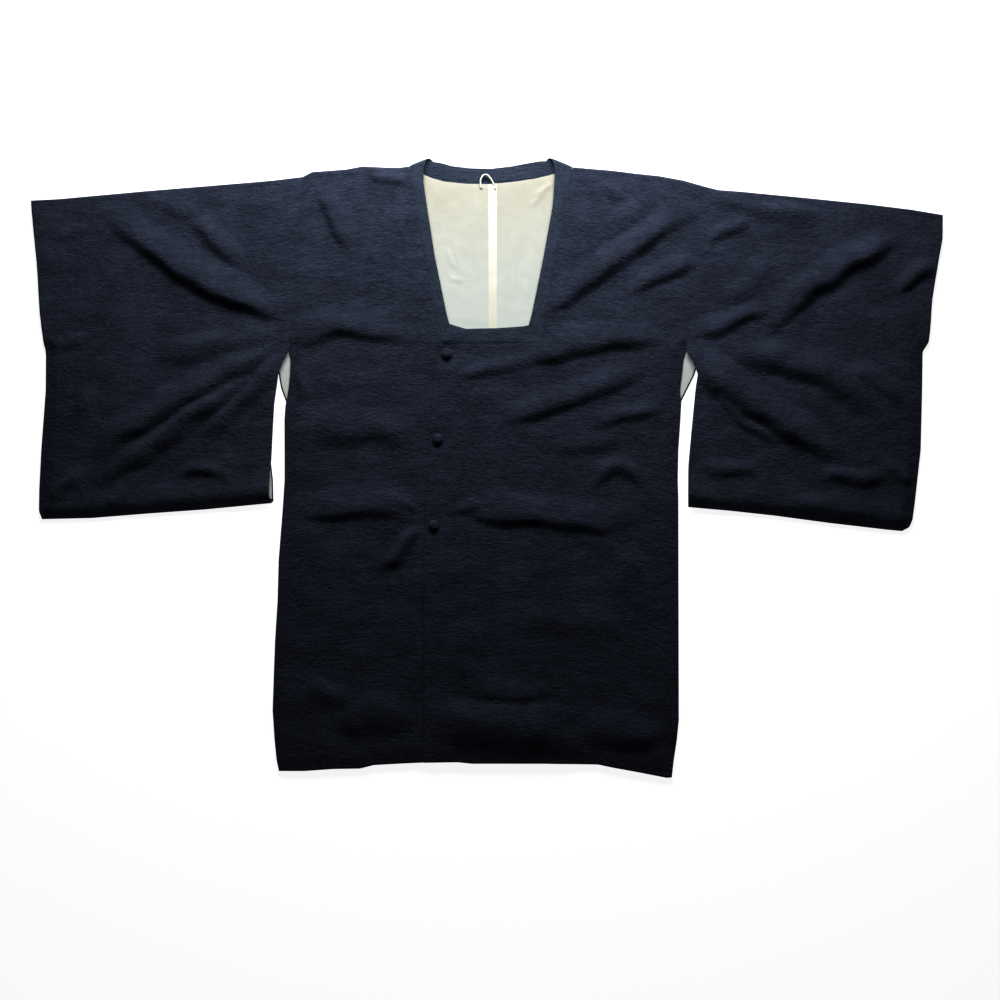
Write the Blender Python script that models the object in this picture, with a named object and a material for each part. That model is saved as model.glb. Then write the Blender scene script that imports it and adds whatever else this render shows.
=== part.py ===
"""A square-necked kimono coat (michiyuki) laid flat on a table, face up, buttoned wearer's left over right.

Frame: metres, +Z up, origin on the table at the middle of the coat's outline. +Y points to the neck
and +X to the wearer's left. The tables below are in millimetres and are turned to metres at the end.
Each length of cloth runs unbroken from the back hem over the shoulder to the front hem, as it is cut.
"""

import math
from collections import namedtuple

import bmesh
import bpy
import numpy as np

MM = 0.001

# Cloth and stack
WALL = 1.5
LINING_WALL = 1.0
COLLAR_WALL = 1.8
GAP = 0.3
HALF_GAP = GAP / 2
LINING_TOP = WALL + GAP + LINING_WALL
BARE_BASE = WALL + GAP
LINED_BASE = LINING_TOP + GAP
OVERLAP_STEP = WALL + GAP
COLLAR_STEP = COLLAR_WALL + GAP
LEAST_SPREAD = 15.0
LEAST_FOLD = 2.9

# Where the coat's parts lie
CENTRE_X = 3.0
LINING_SEAM_X = 7.0
LINING_FOOT_Y = 60.0
LINED_FADE = 40.0
LINING_INSET = 2.2
LINING_TOP_INSET = 7.5
LINING_NECK_INSET = 0.8
ARMPIT_Y = 165.7
SIDE_SEAM_TOP_Y = 94.0
HEM_LEVEL = -425.0
UNDER_HEM_INSET = 4.0
BACK_HEM_INSET = 1.0
SHOULDER_TURN = 6.0
BACK_EASE = 0.3
BUTTON_CENTRES = ((-57.1, 162.9), (-70.0, 41.4), (-75.7, -81.4))
BUTTON_RADIUS = 7.6
BUTTON_REST = 20.0

# Shoulder fold: x, y
SHOULDER_RIGHT = (
    (-262.9, 415.0),
    (-250.0, 422.0),
    (-201.4, 425.7),
    (-178.6, 430.0),
    (-150.0, 428.6),
    (-127.0, 428.0),
    (-111.0, 430.0),
)
SHOULDER_LEFT = (
    (122.0, 429.0),
    (141.4, 427.1),
    (176.0, 424.3),
    (210.0, 420.0),
    (244.3, 416.4),
    (278.6, 410.0),
    (308.6, 401.4),
)

# Straight seams: (x, y) at the shoulder, (x, y) at the lower end
COLLAR_SEAM_RIGHT = ((-111.0, 430.0), (-68.6, 175.7))
COLLAR_SEAM_LEFT = ((122.0, 429.0), (77.0, 178.6))
NECK_SEAM = ((-68.6, 175.7), (77.0, 178.6))
FRONT_ARM_SEAM_RIGHT = ((-262.9, 415.0), (-282.5, 165.7))
FRONT_ARM_SEAM_LEFT = ((308.6, 401.4), (283.5, 165.7))
BACK_ARM_SEAM_RIGHT = ((-262.9, 415.0), (-300.0, 146.0))
BACK_ARM_SEAM_LEFT = ((308.6, 401.4), (303.0, 151.0))

# Edges below the armhole: y, x
FRONT_SIDE_RIGHT = (
    (-440.0, -295.0),
    (-417.0, -300.0),
    (-388.6, -302.9),
    (-345.7, -305.7),
    (-303.0, -304.3),
    (-245.7, -302.2),
    (-188.6, -298.6),
    (-131.4, -297.1),
    (-60.0, -291.4),
    (-17.0, -288.6),
    (68.6, -288.6),
    (90.0, -287.1),
    (111.0, -282.9),
    (133.0, -280.7),
    (154.0, -280.0),
    (165.7, -282.2),
)
FRONT_SIDE_LEFT = (
    (-442.0, 263.6),
    (-417.0, 266.4),
    (-388.6, 270.7),
    (-360.0, 273.6),
    (-45.7, 272.9),
    (-17.0, 272.1),
    (25.7, 272.9),
    (68.6, 275.7),
    (94.0, 277.1),
    (111.0, 275.0),
    (133.0, 277.9),
    (154.0, 280.0),
    (165.7, 283.2),
)
BACK_SLIT_RIGHT = ((94.0, -286.9), (114.0, -294.3), (146.0, -299.7))
BACK_SLIT_LEFT = ((94.0, 277.1), (131.4, 295.7), (151.0, 302.7))
OVER_EDGE = ((-420.0, -90.0), (-131.4, -90.0), (-81.4, -88.6), (54.3, -81.4), (150.0, -73.5), (176.0, -68.6))
UNDER_EDGE = ((-420.0, 97.0), (-131.4, 97.0), (-81.4, 95.8), (54.3, 88.6), (150.0, 81.0), (179.0, 77.0))
BACK_NECK_SIDE_RIGHT = ((-420.0, -96.0), (424.0, -103.0), (430.0, -111.0))
BACK_NECK_SIDE_LEFT = ((-420.0, 102.0), (424.0, 113.0), (429.0, 122.0))

# Hem: x, y
HEM = (
    (-306.0, -432.3),
    (-261.4, -432.1),
    (-221.4, -429.3),
    (-181.4, -428.6),
    (-161.4, -423.6),
    (-121.4, -421.4),
    (-90.0, -420.0),
    (-41.4, -419.3),
    (-21.4, -421.4),
    (78.6, -421.4),
    (158.6, -422.9),
    (178.6, -427.1),
    (218.6, -434.3),
    (258.6, -442.0),
    (275.0, -440.7),
)

# Back neck seam: x, y
BACK_NECK = (
    (-111.0, 426.0),
    (-103.0, 423.5),
    (-90.0, 419.0),
    (-78.6, 414.3),
    (-60.0, 409.3),
    (-31.0, 406.4),
    (4.3, 405.7),
    (40.0, 409.3),
    (68.6, 413.6),
    (87.0, 417.9),
    (100.0, 421.4),
    (113.0, 424.0),
    (122.0, 425.5),
)

# Sleeves: each edge as (x, y) from its first corner to its last
SLEEVE_TOP_RIGHT = ((-650.0, 381.5), (-612.9, 383.4), (-492.9, 394.3), (-390.0, 402.9), (-304.3, 410.0), (-262.9, 415.0))
SLEEVE_CUFF_RIGHT = (
    (-650.0, 381.5),
    (-647.0, 347.0),
    (-641.4, 294.3),
    (-637.0, 218.6),
    (-631.4, 175.7),
    (-629.0, 165.7),
    (-629.3, 111.4),
    (-635.7, 25.7),
    (-638.6, -31.4),
    (-639.0, -62.0),
    (-634.5, -73.0),
)
SLEEVE_FOOT_RIGHT = ((-634.5, -73.0), (-564.3, -71.4), (-484.3, -65.0), (-404.3, -59.3), (-344.3, -53.6), (-306.4, -50.0))
SLEEVE_INNER_RIGHT = (
    (-262.9, 415.0),
    (-282.5, 165.7),
    (-290.0, 152.9),
    (-297.1, 132.9),
    (-302.9, 90.0),
    (-307.1, 11.4),
    (-309.5, -17.0),
    (-310.0, -40.0),
    (-306.4, -50.0),
)
SLEEVE_BACK_INNER_RIGHT = ((-262.9, 415.0), (-300.0, 146.0), (-307.0, 90.0), (-309.0, 11.4), (-305.7, -17.0), (-305.0, -48.0))
SLEEVE_TOP_LEFT = ((650.0, 361.0), (604.3, 368.6), (535.7, 377.0), (450.0, 385.7), (364.3, 393.6), (330.0, 396.0), (308.6, 401.4))
SLEEVE_CUFF_LEFT = (
    (650.0, 361.0),
    (648.6, 325.7),
    (641.4, 282.9),
    (634.3, 240.0),
    (631.4, 197.0),
    (629.3, 178.6),
    (621.4, 165.7),
    (620.7, 111.4),
    (618.6, 25.7),
    (610.7, -45.7),
    (607.0, -74.0),
    (602.5, -84.5),
    (592.0, -90.0),
)
SLEEVE_FOOT_LEFT = ((592.0, -90.0), (570.0, -87.9), (490.0, -78.6), (410.0, -67.9), (350.0, -61.4), (287.0, -55.7))
SLEEVE_INNER_LEFT = (
    (308.6, 401.4),
    (283.5, 165.7),
    (291.4, 155.7),
    (300.0, 132.9),
    (297.0, 111.4),
    (290.7, 47.0),
    (287.0, 4.3),
    (286.0, -38.6),
    (287.0, -55.7),
)
SLEEVE_BACK_INNER_LEFT = ((308.6, 401.4), (303.0, 151.0), (296.0, 90.0), (291.5, 47.0), (289.5, -17.0), (288.5, -54.0))

# Collar: where its seam and its free edge lie, how far it has turned over the shoulder (degrees), how much its
# free edge rises, and 1 where it lies on the other side's collar. The back stretch follows the body's neck edge.
CollarSection = namedtuple("CollarSection", "seam_x seam_y free_x free_y turn rise layer")
COLLAR_TO_BACK = [
    CollarSection(46.0, 178.0, 46.0, 199.5, 0, 0, 0),
    CollarSection(-30.0, 176.5, -30.0, 198.0, 0, 0, 0),
    CollarSection(-68.6, 175.7, -53.6, 205.0, 0, 0, 0),
    CollarSection(-74.6, 211.7, -57.4, 218.6, 0, 0, 0),
    CollarSection(-89.9, 304.0, -74.9, 304.0, 0, 0, 0),
    CollarSection(-103.1, 383.0, -86.5, 379.0, 0, 0, 0),
    CollarSection(-108.3, 414.0, -90.5, 408.0, 0, 0.5, 0),
    CollarSection(-110.0, 423.0, -90.2, 424.0, 0, 1.8, 0),
    CollarSection(-110.6, 427.7, -87.5, 434.0, 0, 3.0, 0),
    CollarSection(-110.6, 427.7, -85.5, 436.0, 45, 3.0, 0),
    CollarSection(-110.6, 427.7, -83.0, 437.0, 90, 3.0, 0),
    CollarSection(-110.6, 427.9, -80.0, 437.5, 135, 3.0, 0),
    CollarSection(-110.2, 428.1, -76.5, 437.0, 180, 3.0, 0),
]
COLLAR_FROM_BACK = [
    CollarSection(121.2, 427.1, 84.0, 438.0, 180, 3.0, 0),
    CollarSection(121.6, 426.9, 86.5, 438.0, 135, 3.0, 0),
    CollarSection(121.6, 426.7, 89.5, 437.5, 90, 3.0, 0),
    CollarSection(121.6, 426.7, 92.5, 436.0, 45, 3.0, 0),
    CollarSection(121.6, 426.7, 95.0, 433.0, 0, 3.0, 0),
    CollarSection(120.7, 422.0, 96.4, 423.0, 0, 1.8, 0),
    CollarSection(119.1, 413.0, 96.2, 408.0, 0, 0.5, 0),
    CollarSection(113.0, 379.0, 94.0, 375.0, 0, 0, 0),
    CollarSection(99.6, 304.7, 81.4, 304.7, 0, 0, 0),
    CollarSection(84.2, 219.0, 64.0, 219.0, 0, 0, 0),
    CollarSection(77.0, 178.8, 59.4, 203.0, 0, 0, 0.3),
    CollarSection(55.0, 178.4, 50.0, 201.0, 0, 0, 1),
    CollarSection(4.0, 177.4, 4.0, 198.0, 0, 0, 1),
    CollarSection(-64.0, 176.2, -38.6, 196.5, 0, 0, 1),
]
# Top of the back collar: x, y
COLLAR_TOP = (
    (-76.5, 437.0),
    (-66.0, 435.5),
    (-50.0, 431.0),
    (-25.0, 428.0),
    (4.3, 427.1),
    (35.0, 430.6),
    (58.0, 435.0),
    (76.0, 438.0),
    (84.0, 438.0),
)
COLLAR_BACK_NARROWING = 0.72
COLLAR_STEP_LENGTH = 22.0
COLLAR_COLUMNS = 2

# Folds: the crest runs from start through middle to end. Spreads are to the left and right of that direction.
Fold = namedtuple("Fold", "start middle end height spread_left spread_right")
FOLDS = [
    Fold((-535.7, 365.7), (-424.3, 282.9), (-294.3, 218.6), 8.0, 30, 15),
    Fold((-438.6, 361.4), (-405.7, 330.0), (-364.3, 294.3), 3.5, 16, 14),
    Fold((-298.6, 192.9), (-367.0, 182.9), (-481.4, 175.7), 4.0, 15, 18),
    Fold((-290.0, 160.0), (-445.7, 88.6), (-607.0, -24.3), 9.0, 15, 22),
    Fold((-352.9, 118.6), (-460.0, 44.3), (-552.9, -25.7), 5.5, 15, 15),
    Fold((-295.7, 140.0), (-355.7, 94.3), (-424.3, 28.6), 5.0, 15, 15),
    Fold((-452.9, -11.4), (-402.9, 2.9), (-355.7, -34.3), 3.0, 15, 15),
    Fold((-527.0, 161.4), (-570.0, 118.6), (-587.0, 40.0), 3.0, 15, 20),
    Fold((-235.7, 395.0), (-212.9, 351.4), (-190.0, 311.4), 3.5, 18, 15),
    Fold((-170.0, 428.0), (-138.6, 417.0), (-107.0, 402.9), 4.0, 15, 15),
    Fold((-278.6, 168.6), (-188.6, 188.6), (-88.6, 172.9), 5.0, 26, 15),
    Fold((-267.0, -74.3), (-195.7, -67.0), (-107.0, -68.6), 4.0, 22, 15),
    Fold((-45.7, -71.4), (75.7, -75.7), (240.0, -88.6), 4.0, 24, 15),
    Fold((-97.0, -84.0), (-124.3, -110.0), (-152.9, -148.6), 4.0, 15, 16),
    Fold((-202.9, -362.9), (4.3, -370.0), (240.0, -378.6), 6.0, 35, 22),
    Fold((32.9, 151.4), (147.0, 174.3), (258.6, 177.0), 6.0, 24, 15),
    Fold((18.6, 61.4), (125.7, 100.0), (247.0, 142.9), 4.0, 22, 15),
    Fold((140.0, 61.4), (197.0, 72.9), (258.6, 85.7), 3.0, 15, 15),
    Fold((150.0, -40.0), (191.4, 10.0), (240.0, -40.0), 3.0, 15, 15),
    Fold((87.0, 222.9), (178.6, 294.3), (287.0, 370.0), 5.0, 20, 15),
    Fold((207.0, 231.4), (258.6, 278.6), (307.0, 288.6), 3.5, 15, 15),
    Fold((310.0, 320.0), (338.6, 335.7), (372.9, 351.4), 3.0, 15, 15),
    Fold((275.7, 402.9), (372.9, 378.6), (482.9, 344.3), 4.5, 15, 15),
    Fold((411.4, 200.0), (492.9, 272.9), (578.6, 311.4), 6.5, 22, 15),
    Fold((572.9, 240.0), (607.0, 261.4), (641.0, 283.0), 4.0, 15, 15),
    Fold((290.0, 185.7), (340.0, 205.7), (411.4, 228.6), 4.0, 16, 15),
    Fold((291.4, 162.0), (387.0, 75.7), (535.7, -8.6), 9.0, 24, 15),
    Fold((335.7, 151.4), (464.3, 120.0), (568.6, 54.3), 5.5, 20, 15),
    Fold((507.0, 148.6), (550.0, 125.7), (590.0, 90.0), 4.0, 15, 15),
    Fold((478.6, -14.3), (518.6, -11.4), (568.6, -17.0), 4.0, 15, 15),
]
CREST_STEPS = 14
FOLD_END = 0.22
SEWN_FADE = 22.0
SHOULDER_FADE = 26.0
SHOULDER_KEEP = 0.45

# Grids
BODY_COLUMNS_MAIN = 10
BODY_COLUMNS_LAP = 5
BODY_ROWS_NECK = 11
BODY_ROWS_SKIRT = 26
BODY_BACK_ROWS = 6
SLEEVE_COLUMNS = 17
SLEEVE_ROWS = 20
TURN_ROWS = 4
TURN_ANGLES = np.linspace(-90, 90, TURN_ROWS + 1)

# Looks: colour, roughness
FINISHES = {
    "crepe": ((0.0105, 0.0125, 0.0205, 1.0), 0.86),
    "collar_crepe": ((0.0125, 0.0165, 0.0245, 1.0), 0.82),
    "button_crepe": ((0.0115, 0.0135, 0.0215, 1.0), 0.72),
    "lining_silk": ((0.62, 0.64, 0.60, 1.0), 0.55),
    "loop_silk": ((0.72, 0.70, 0.58, 1.0), 0.60),
}


def remove_old_objects():
    """Empties the scene the script was opened in."""
    for old in list(bpy.data.objects):
        bpy.data.objects.remove(old)


def cloth_material(name):
    """The Principled BSDF of one kind of cloth."""
    colour, roughness = FINISHES[name]
    material = bpy.data.materials.get(name) or bpy.data.materials.new(name)
    material.use_nodes = True
    shader = material.node_tree.nodes["Principled BSDF"]
    shader.inputs["Base Color"].default_value = colour
    shader.inputs["Roughness"].default_value = roughness
    shader.inputs["Metallic"].default_value = 0.0
    return material


def read_table(table, at):
    """The second column at a value of the first, straight between rows."""
    rows = sorted(table)
    return np.interp(at, [row[0] for row in rows], [row[1] for row in rows])


def line_x(line, y):
    """x on a straight seam at height y."""
    (x0, y0), (x1, y1) = line
    return x0 + (np.asarray(y, float) - y0) * (x1 - x0) / (y1 - y0)


def line_y(line, x):
    """y on a straight seam at x."""
    (x0, y0), (x1, y1) = line
    return y0 + (np.asarray(x, float) - x0) * (y1 - y0) / (x1 - x0)


def smooth(share):
    """0 to 1 with level ends."""
    t = np.clip(share, 0.0, 1.0)
    return t * t * (3 - 2 * t)


def mix(a, b, share):
    """a at share 0, b at share 1."""
    return a + (b - a) * share


def fold_height(x, y, fold):
    """How high one fold stands over each point."""
    start, middle, end = (np.array(p, float) for p in fold[:3])
    bend = 2 * middle - (start + end) / 2
    t = np.linspace(0, 1, CREST_STEPS + 1)[:, None]
    crest = (1 - t) ** 2 * start + 2 * t * (1 - t) * bend + t**2 * end
    points = np.stack([x, y], axis=-1)
    nearest = np.full(x.shape, np.inf)
    height = np.zeros(x.shape)
    for k in range(CREST_STEPS):
        step = crest[k + 1] - crest[k]
        away = points - crest[k]
        share = np.clip((away @ step) / (step @ step), 0, 1)
        off = away - share[..., None] * step
        distance = np.hypot(off[..., 0], off[..., 1])
        left = step[0] * off[..., 1] - step[1] * off[..., 0] > 0
        spread = np.maximum(np.where(left, fold.spread_left, fold.spread_right), LEAST_SPREAD)
        along = (k + share) / CREST_STEPS
        ends = smooth(along / FOLD_END) * smooth((1 - along) / FOLD_END)
        here = fold.height * ends * (1 - np.minimum(distance / spread, 1) ** 2) ** 2
        closer = distance < nearest
        height = np.where(closer, here, height)
        nearest = np.where(closer, distance, nearest)
    return height


def folds_lift(x, y):
    """The lift of all the folds together, level under each button."""
    total = np.zeros(np.shape(x))
    for fold in FOLDS:
        if fold.height > LEAST_FOLD:
            total = total + fold_height(x, y, fold) ** 3
    lift = np.cbrt(total)
    for centre_x, centre_y in BUTTON_CENTRES:
        away = np.hypot(x - centre_x, y - centre_y)
        lift = lift * smooth((away - BUTTON_RADIUS) / BUTTON_REST)
    return lift


def folded_length(name, counts, front_plan, back_plan, front_level, cut_faces, split, material):
    """One wall of cloth from its back lower edge, over the shoulder, to its front lower edge.

    counts are (columns, back rows, front rows). A plan gives x and y from column and row shares, and
    front_level the height of the front's underside. cut_faces says which cells are open, as at the neck, and
    split how each cell is split in two: mirrored grids take mirrored splits, so that lapped walls stay parallel.
    """
    columns, back_rows, front_rows = counts
    rows = back_rows + TURN_ROWS + front_rows
    bm = bmesh.new()
    bmesh.ops.create_grid(bm, x_segments=columns, y_segments=rows, size=0.5)

    def cell(co):
        return (co.x + 0.5) * columns, (co.y + 0.5) * rows

    gone = [f for f in bm.faces if cut_faces(*cell(f.calc_center_median()))]
    if gone:
        bmesh.ops.delete(bm, geom=gone, context="FACES")
    bmesh.ops.triangulate(bm, faces=bm.faces[:], quad_method=split)
    made = bmesh.ops.extrude_face_region(bm, geom=bm.faces[:])
    outer = {v for v in made["geom"] if isinstance(v, bmesh.types.BMVert)}

    bm.verts.ensure_lookup_table()
    cells = np.array([cell(v.co) for v in bm.verts])
    is_outer = np.array([v in outer for v in bm.verts])
    column = np.round(cells[:, 0]).astype(int)
    row = np.round(cells[:, 1]).astype(int)
    turn = row - back_rows
    on_back = turn <= 0
    on_front = turn >= TURN_ROWS
    back_share = np.clip(-turn / back_rows, 0, 1)
    front_share = np.clip((turn - TURN_ROWS) / front_rows, 0, 1)
    angle = np.radians(TURN_ANGLES[np.clip(turn, 0, TURN_ROWS)])

    fx, fy = front_plan(column / columns, front_share)
    bx, by = back_plan(column / columns, back_share)
    under = front_level(fx, fy, column / columns, front_share)
    over = under + WALL
    bulge = over / 2
    fold_y = fy - bulge
    half_hollow = (under - WALL) / 2

    x = np.where(on_back & (turn < 0), bx, fx)
    arc = np.where(is_outer, bulge, half_hollow)
    y = np.where(on_front, np.where(front_share > 0, fy, fold_y), fold_y + arc * np.cos(angle))
    y = np.where(turn < 0, by, y)
    middle = np.where(is_outer, bulge, WALL + half_hollow)
    z = middle + arc * np.sin(angle)
    z = np.where(on_back, np.where(is_outer, 0.0, WALL), z)
    z = np.where(on_front, np.where(is_outer, over, under), z)
    for v, place in zip(bm.verts, np.stack([x, y, z], axis=1) * MM):
        v.co = place
    return finish_mesh(name, bm, material)


def finish_mesh(name, bm, material):
    """Closes a bmesh into a named object with its faces pointing out."""
    bmesh.ops.recalc_face_normals(bm, faces=bm.faces[:])
    if bm.calc_volume(signed=True) < 0:
        bmesh.ops.reverse_faces(bm, faces=bm.faces[:])
    mesh = bpy.data.meshes.new(name)
    bm.to_mesh(mesh)
    bm.free()
    mesh.shade_smooth()
    mesh.set_sharp_from_angle(angle=math.radians(50))
    obj = bpy.data.objects.new(name, mesh)
    bpy.context.scene.collection.objects.link(obj)
    obj.data.materials.append(cloth_material(material))
    return obj


def body_lined(y):
    """1 where the body's fronts lie on the lining, 0 below it."""
    return smooth((y - LINING_FOOT_Y + LINED_FADE) / (LINED_FADE - LINING_WALL))


def body_base(x, y):
    """Height that the lower front rests at, before its folds."""
    return mix(BARE_BASE, LINED_BASE, body_lined(y))


def lap_rise(x, y):
    """Extra height of the left front where it lies on the right one."""
    edge = read_table(UNDER_EDGE, y)
    return OVERLAP_STEP * (1 - smooth((x - edge - GAP) / LINED_FADE))


def body_sewn(x, y, side):
    """1 in the open cloth, 0 where the front is sewn to the back along the side."""
    reach = np.abs(x - side)
    seam = smooth(reach / SEWN_FADE)
    above = smooth((y - SIDE_SEAM_TOP_Y) / SEWN_FADE)
    return np.maximum(seam, above)


def shoulder_factor(y, shoulder):
    """Folds settle towards the shoulder fold."""
    return mix(SHOULDER_KEEP, 1.0, smooth((shoulder - y) / SHOULDER_FADE))


class BodySide:
    """The tables of one side of the body, and the plans they give. The first column is at the side seam."""

    def __init__(self, sign, lap_share, shoulder, collar_seam, side, front_arm, back_arm, back_slit, neck_side, edge):
        self.sign = sign
        self.lap_share = lap_share
        self.shoulder = shoulder
        self.collar_seam = collar_seam
        self.side = side
        self.front_arm = front_arm
        self.back_arm = back_arm
        self.back_slit = back_slit
        self.neck_side = neck_side
        self.edge = edge

    def side_x(self, y):
        below = read_table(self.side, y)
        above = line_x(self.front_arm, y)
        return np.where(y > ARMPIT_Y, above, below) - self.sign * HALF_GAP

    def back_side_x(self, y):
        top = self.back_slit[-1][0]
        x = np.where(y > top, line_x(self.back_arm, y), read_table(self.back_slit, y))
        return np.where(y < SIDE_SEAM_TOP_Y, read_table(self.side, y), x) - self.sign * (HALF_GAP + BACK_EASE)

    def neck_x(self, y):
        """The column at the neck: on the collar's seam, and straight on down to the lap below it."""
        seam_foot = self.collar_seam[1][1]
        seam = line_x(self.collar_seam, y) + self.sign * HALF_GAP
        return np.where(y >= seam_foot, seam, read_table(self.other_edge(), y))

    def other_edge(self):
        """Where the lap begins: the opposite front's edge."""
        return UNDER_EDGE if self.sign > 0 else OVER_EDGE

    def shoulder_y(self, u):
        top_x = mix(self.shoulder_end(0), self.shoulder_end(1), np.minimum(u / self.lap_share, 1))
        return read_table(self.shoulder, top_x)

    def shoulder_end(self, inner):
        xs = sorted((row[0] for row in self.shoulder), key=lambda x: x * self.sign)
        return xs[0] if inner else xs[-1]

    def across(self, u, side, neck, edge):
        main = mix(side, neck, u / self.lap_share)
        lap = mix(neck, edge, (u - self.lap_share) / (1 - self.lap_share))
        return np.where(u <= self.lap_share, main, lap)

    def neck_row(self, u):
        """x and y of the row at the foot of the neck, which the collar's lower seam crosses."""
        at = NECK_SEAM[0][1]
        x = self.across(u, self.side_x(at), self.neck_x(at), read_table(self.edge, at))
        return x, line_y(NECK_SEAM, x) - HALF_GAP

    def hem_row(self, u):
        """y of the hem at each column."""
        side, edge = read_table(self.side, HEM_LEVEL), read_table(self.edge, HEM_LEVEL)
        return read_table(HEM, self.across(u, side, self.neck_x(HEM_LEVEL), edge))

    def front_plan(self, u, v):
        share = BODY_ROWS_NECK / (BODY_ROWS_NECK + BODY_ROWS_SKIRT)
        neck, hem = self.neck_row(u)[1], self.hem_row(u)
        upper = mix(self.shoulder_y(u), neck, v / share)
        lower = mix(neck, hem, (v - share) / (1 - share))
        y = np.where(v <= share, upper, lower)
        x = self.across(u, self.side_x(y), self.neck_x(y), read_table(self.edge, y))
        hidden = (self.sign < 0) & (u > self.lap_share) & (v >= 1)
        return x, y + np.where(hidden, UNDER_HEM_INSET, 0.0)

    def back_plan(self, u, v):
        """The back's rows: shoulder, neck, three round the armhole's slit, one on the way down, hem."""
        centre = CENTRE_X + self.sign * HALF_GAP
        foot_x = self.across(u, read_table(self.side, HEM_LEVEL), read_table(self.neck_side, HEM_LEVEL), centre)
        hem = read_table(HEM, foot_x) + BACK_HEM_INSET
        neck_x = self.across(u, self.shoulder_end(0), read_table(self.neck_side, BACK_NECK[0][1]), centre)
        below_fold = self.shoulder_y(u) - SHOULDER_TURN
        neck = np.minimum(read_table(BACK_NECK, neck_x), below_fold)
        slit = [y for y, _ in self.back_slit]
        heights = [self.shoulder_y(u), neck, slit[2], slit[1], slit[0], (slit[0] + HEM_LEVEL) / 2, hem]
        row = np.round(v * BODY_BACK_ROWS).astype(int)
        y = np.choose(row, [np.broadcast_to(h, row.shape) for h in heights])
        side = self.back_side_x(y)
        neck_side = np.where(row == 0, self.shoulder_end(1), read_table(self.neck_side, y))
        return self.across(u, side, neck_side, centre), y

    def level(self, x, y, u, v):
        rise = lap_rise(x, y) if self.sign > 0 else 0.0
        sewn = body_sewn(x, y, read_table(self.side, y))
        lift = folds_lift(x, y) * sewn * shoulder_factor(y, self.shoulder_y(u))
        return body_base(x, y) + rise + lift


BODY_RIGHT = BodySide(
    -1,
    BODY_COLUMNS_MAIN / (BODY_COLUMNS_MAIN + BODY_COLUMNS_LAP),
    SHOULDER_RIGHT,
    COLLAR_SEAM_RIGHT,
    FRONT_SIDE_RIGHT,
    FRONT_ARM_SEAM_RIGHT,
    BACK_ARM_SEAM_RIGHT,
    BACK_SLIT_RIGHT,
    BACK_NECK_SIDE_RIGHT,
    UNDER_EDGE,
)
BODY_LEFT = BodySide(
    1,
    BODY_COLUMNS_MAIN / (BODY_COLUMNS_MAIN + BODY_COLUMNS_LAP),
    SHOULDER_LEFT,
    COLLAR_SEAM_LEFT,
    FRONT_SIDE_LEFT,
    FRONT_ARM_SEAM_LEFT,
    BACK_ARM_SEAM_LEFT,
    BACK_SLIT_LEFT,
    BACK_NECK_SIDE_LEFT,
    OVER_EDGE,
)


def build_body(name, side):
    """One side of the body: back, shoulder and front in one length, with the neck cut out."""
    columns = BODY_COLUMNS_MAIN + BODY_COLUMNS_LAP
    front_rows = BODY_ROWS_NECK + BODY_ROWS_SKIRT

    def neck_hole(column, row):
        in_lap = column > BODY_COLUMNS_MAIN
        return in_lap and BODY_BACK_ROWS - 1 < row < BODY_BACK_ROWS + TURN_ROWS + BODY_ROWS_NECK

    counts = (columns, BODY_BACK_ROWS, front_rows)
    split = "FIXED" if side.sign < 0 else "ALTERNATE"
    return folded_length(name, counts, side.front_plan, side.back_plan, side.level, neck_hole, split, "crepe")


def edge_point(edge, share):
    """x and y at a share of the length of an edge given by its points."""
    points = np.array(edge, float)
    lengths = np.hypot(*np.diff(points, axis=0).T)
    at = np.concatenate([[0], np.cumsum(lengths)]) / lengths.sum()
    return np.interp(share, at, points[:, 0]), np.interp(share, at, points[:, 1])


class Sleeve:
    """The tables of one sleeve, and the plans they give. The first column is at the cuff."""

    def __init__(self, sign, top, cuff, foot, inner, back_inner):
        self.sign = sign
        self.top = top
        self.cuff = cuff
        self.foot = foot
        self.inner = inner
        self.back_inner = back_inner

    def patch(self, u, v, inner):
        """A point inside the four edges: u from cuff to body, v from the top fold to the foot."""
        top = np.array(edge_point(self.top, u))
        foot = np.array(edge_point(self.foot[:-1] + (inner[-1],), u))
        cuff = np.array(edge_point(self.cuff, v))
        body = np.array(edge_point(inner, v))
        corners = [np.array(p, float)[:, None] for p in (self.top[0], self.top[-1], self.foot[0], inner[-1])]
        corner = (
            (1 - u) * (1 - v) * corners[0]
            + u * (1 - v) * corners[1]
            + (1 - u) * v * corners[2]
            + u * v * corners[3]
        )
        place = (1 - v) * top + v * foot + (1 - u) * cuff + u * body - corner
        return place[0] + self.sign * HALF_GAP * u, place[1]

    def front_plan(self, u, v):
        return self.patch(u, v, self.inner)

    def back_plan(self, u, v):
        """The back's rows are at the corners of its inner edge."""
        corners = np.array(self.back_inner)
        reach = np.concatenate([[0], np.cumsum(np.hypot(*np.diff(corners, axis=0).T))])
        return self.patch(u, np.interp(v * (len(corners) - 1), range(len(corners)), reach / reach[-1]), self.back_inner)

    def level(self, x, y, u, v):
        inner_x = edge_point(self.inner, v)[0]
        reach = np.abs(x - inner_x)
        lined = 1 - smooth((reach - LINED_FADE) / LINED_FADE)
        foot_y = edge_point(self.foot, u)[1]
        cuff_x = edge_point(self.cuff, v)[0]
        sewn_foot = smooth((y - foot_y) / SEWN_FADE)
        sewn_cuff = np.maximum(smooth(np.abs(x - cuff_x) / SEWN_FADE), smooth((y - ARMPIT_Y) / SEWN_FADE))
        lift = folds_lift(x, y) * sewn_foot * sewn_cuff
        lift = lift * shoulder_factor(y, edge_point(self.top, u)[1])
        return mix(BARE_BASE, LINED_BASE, lined) + lift


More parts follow.
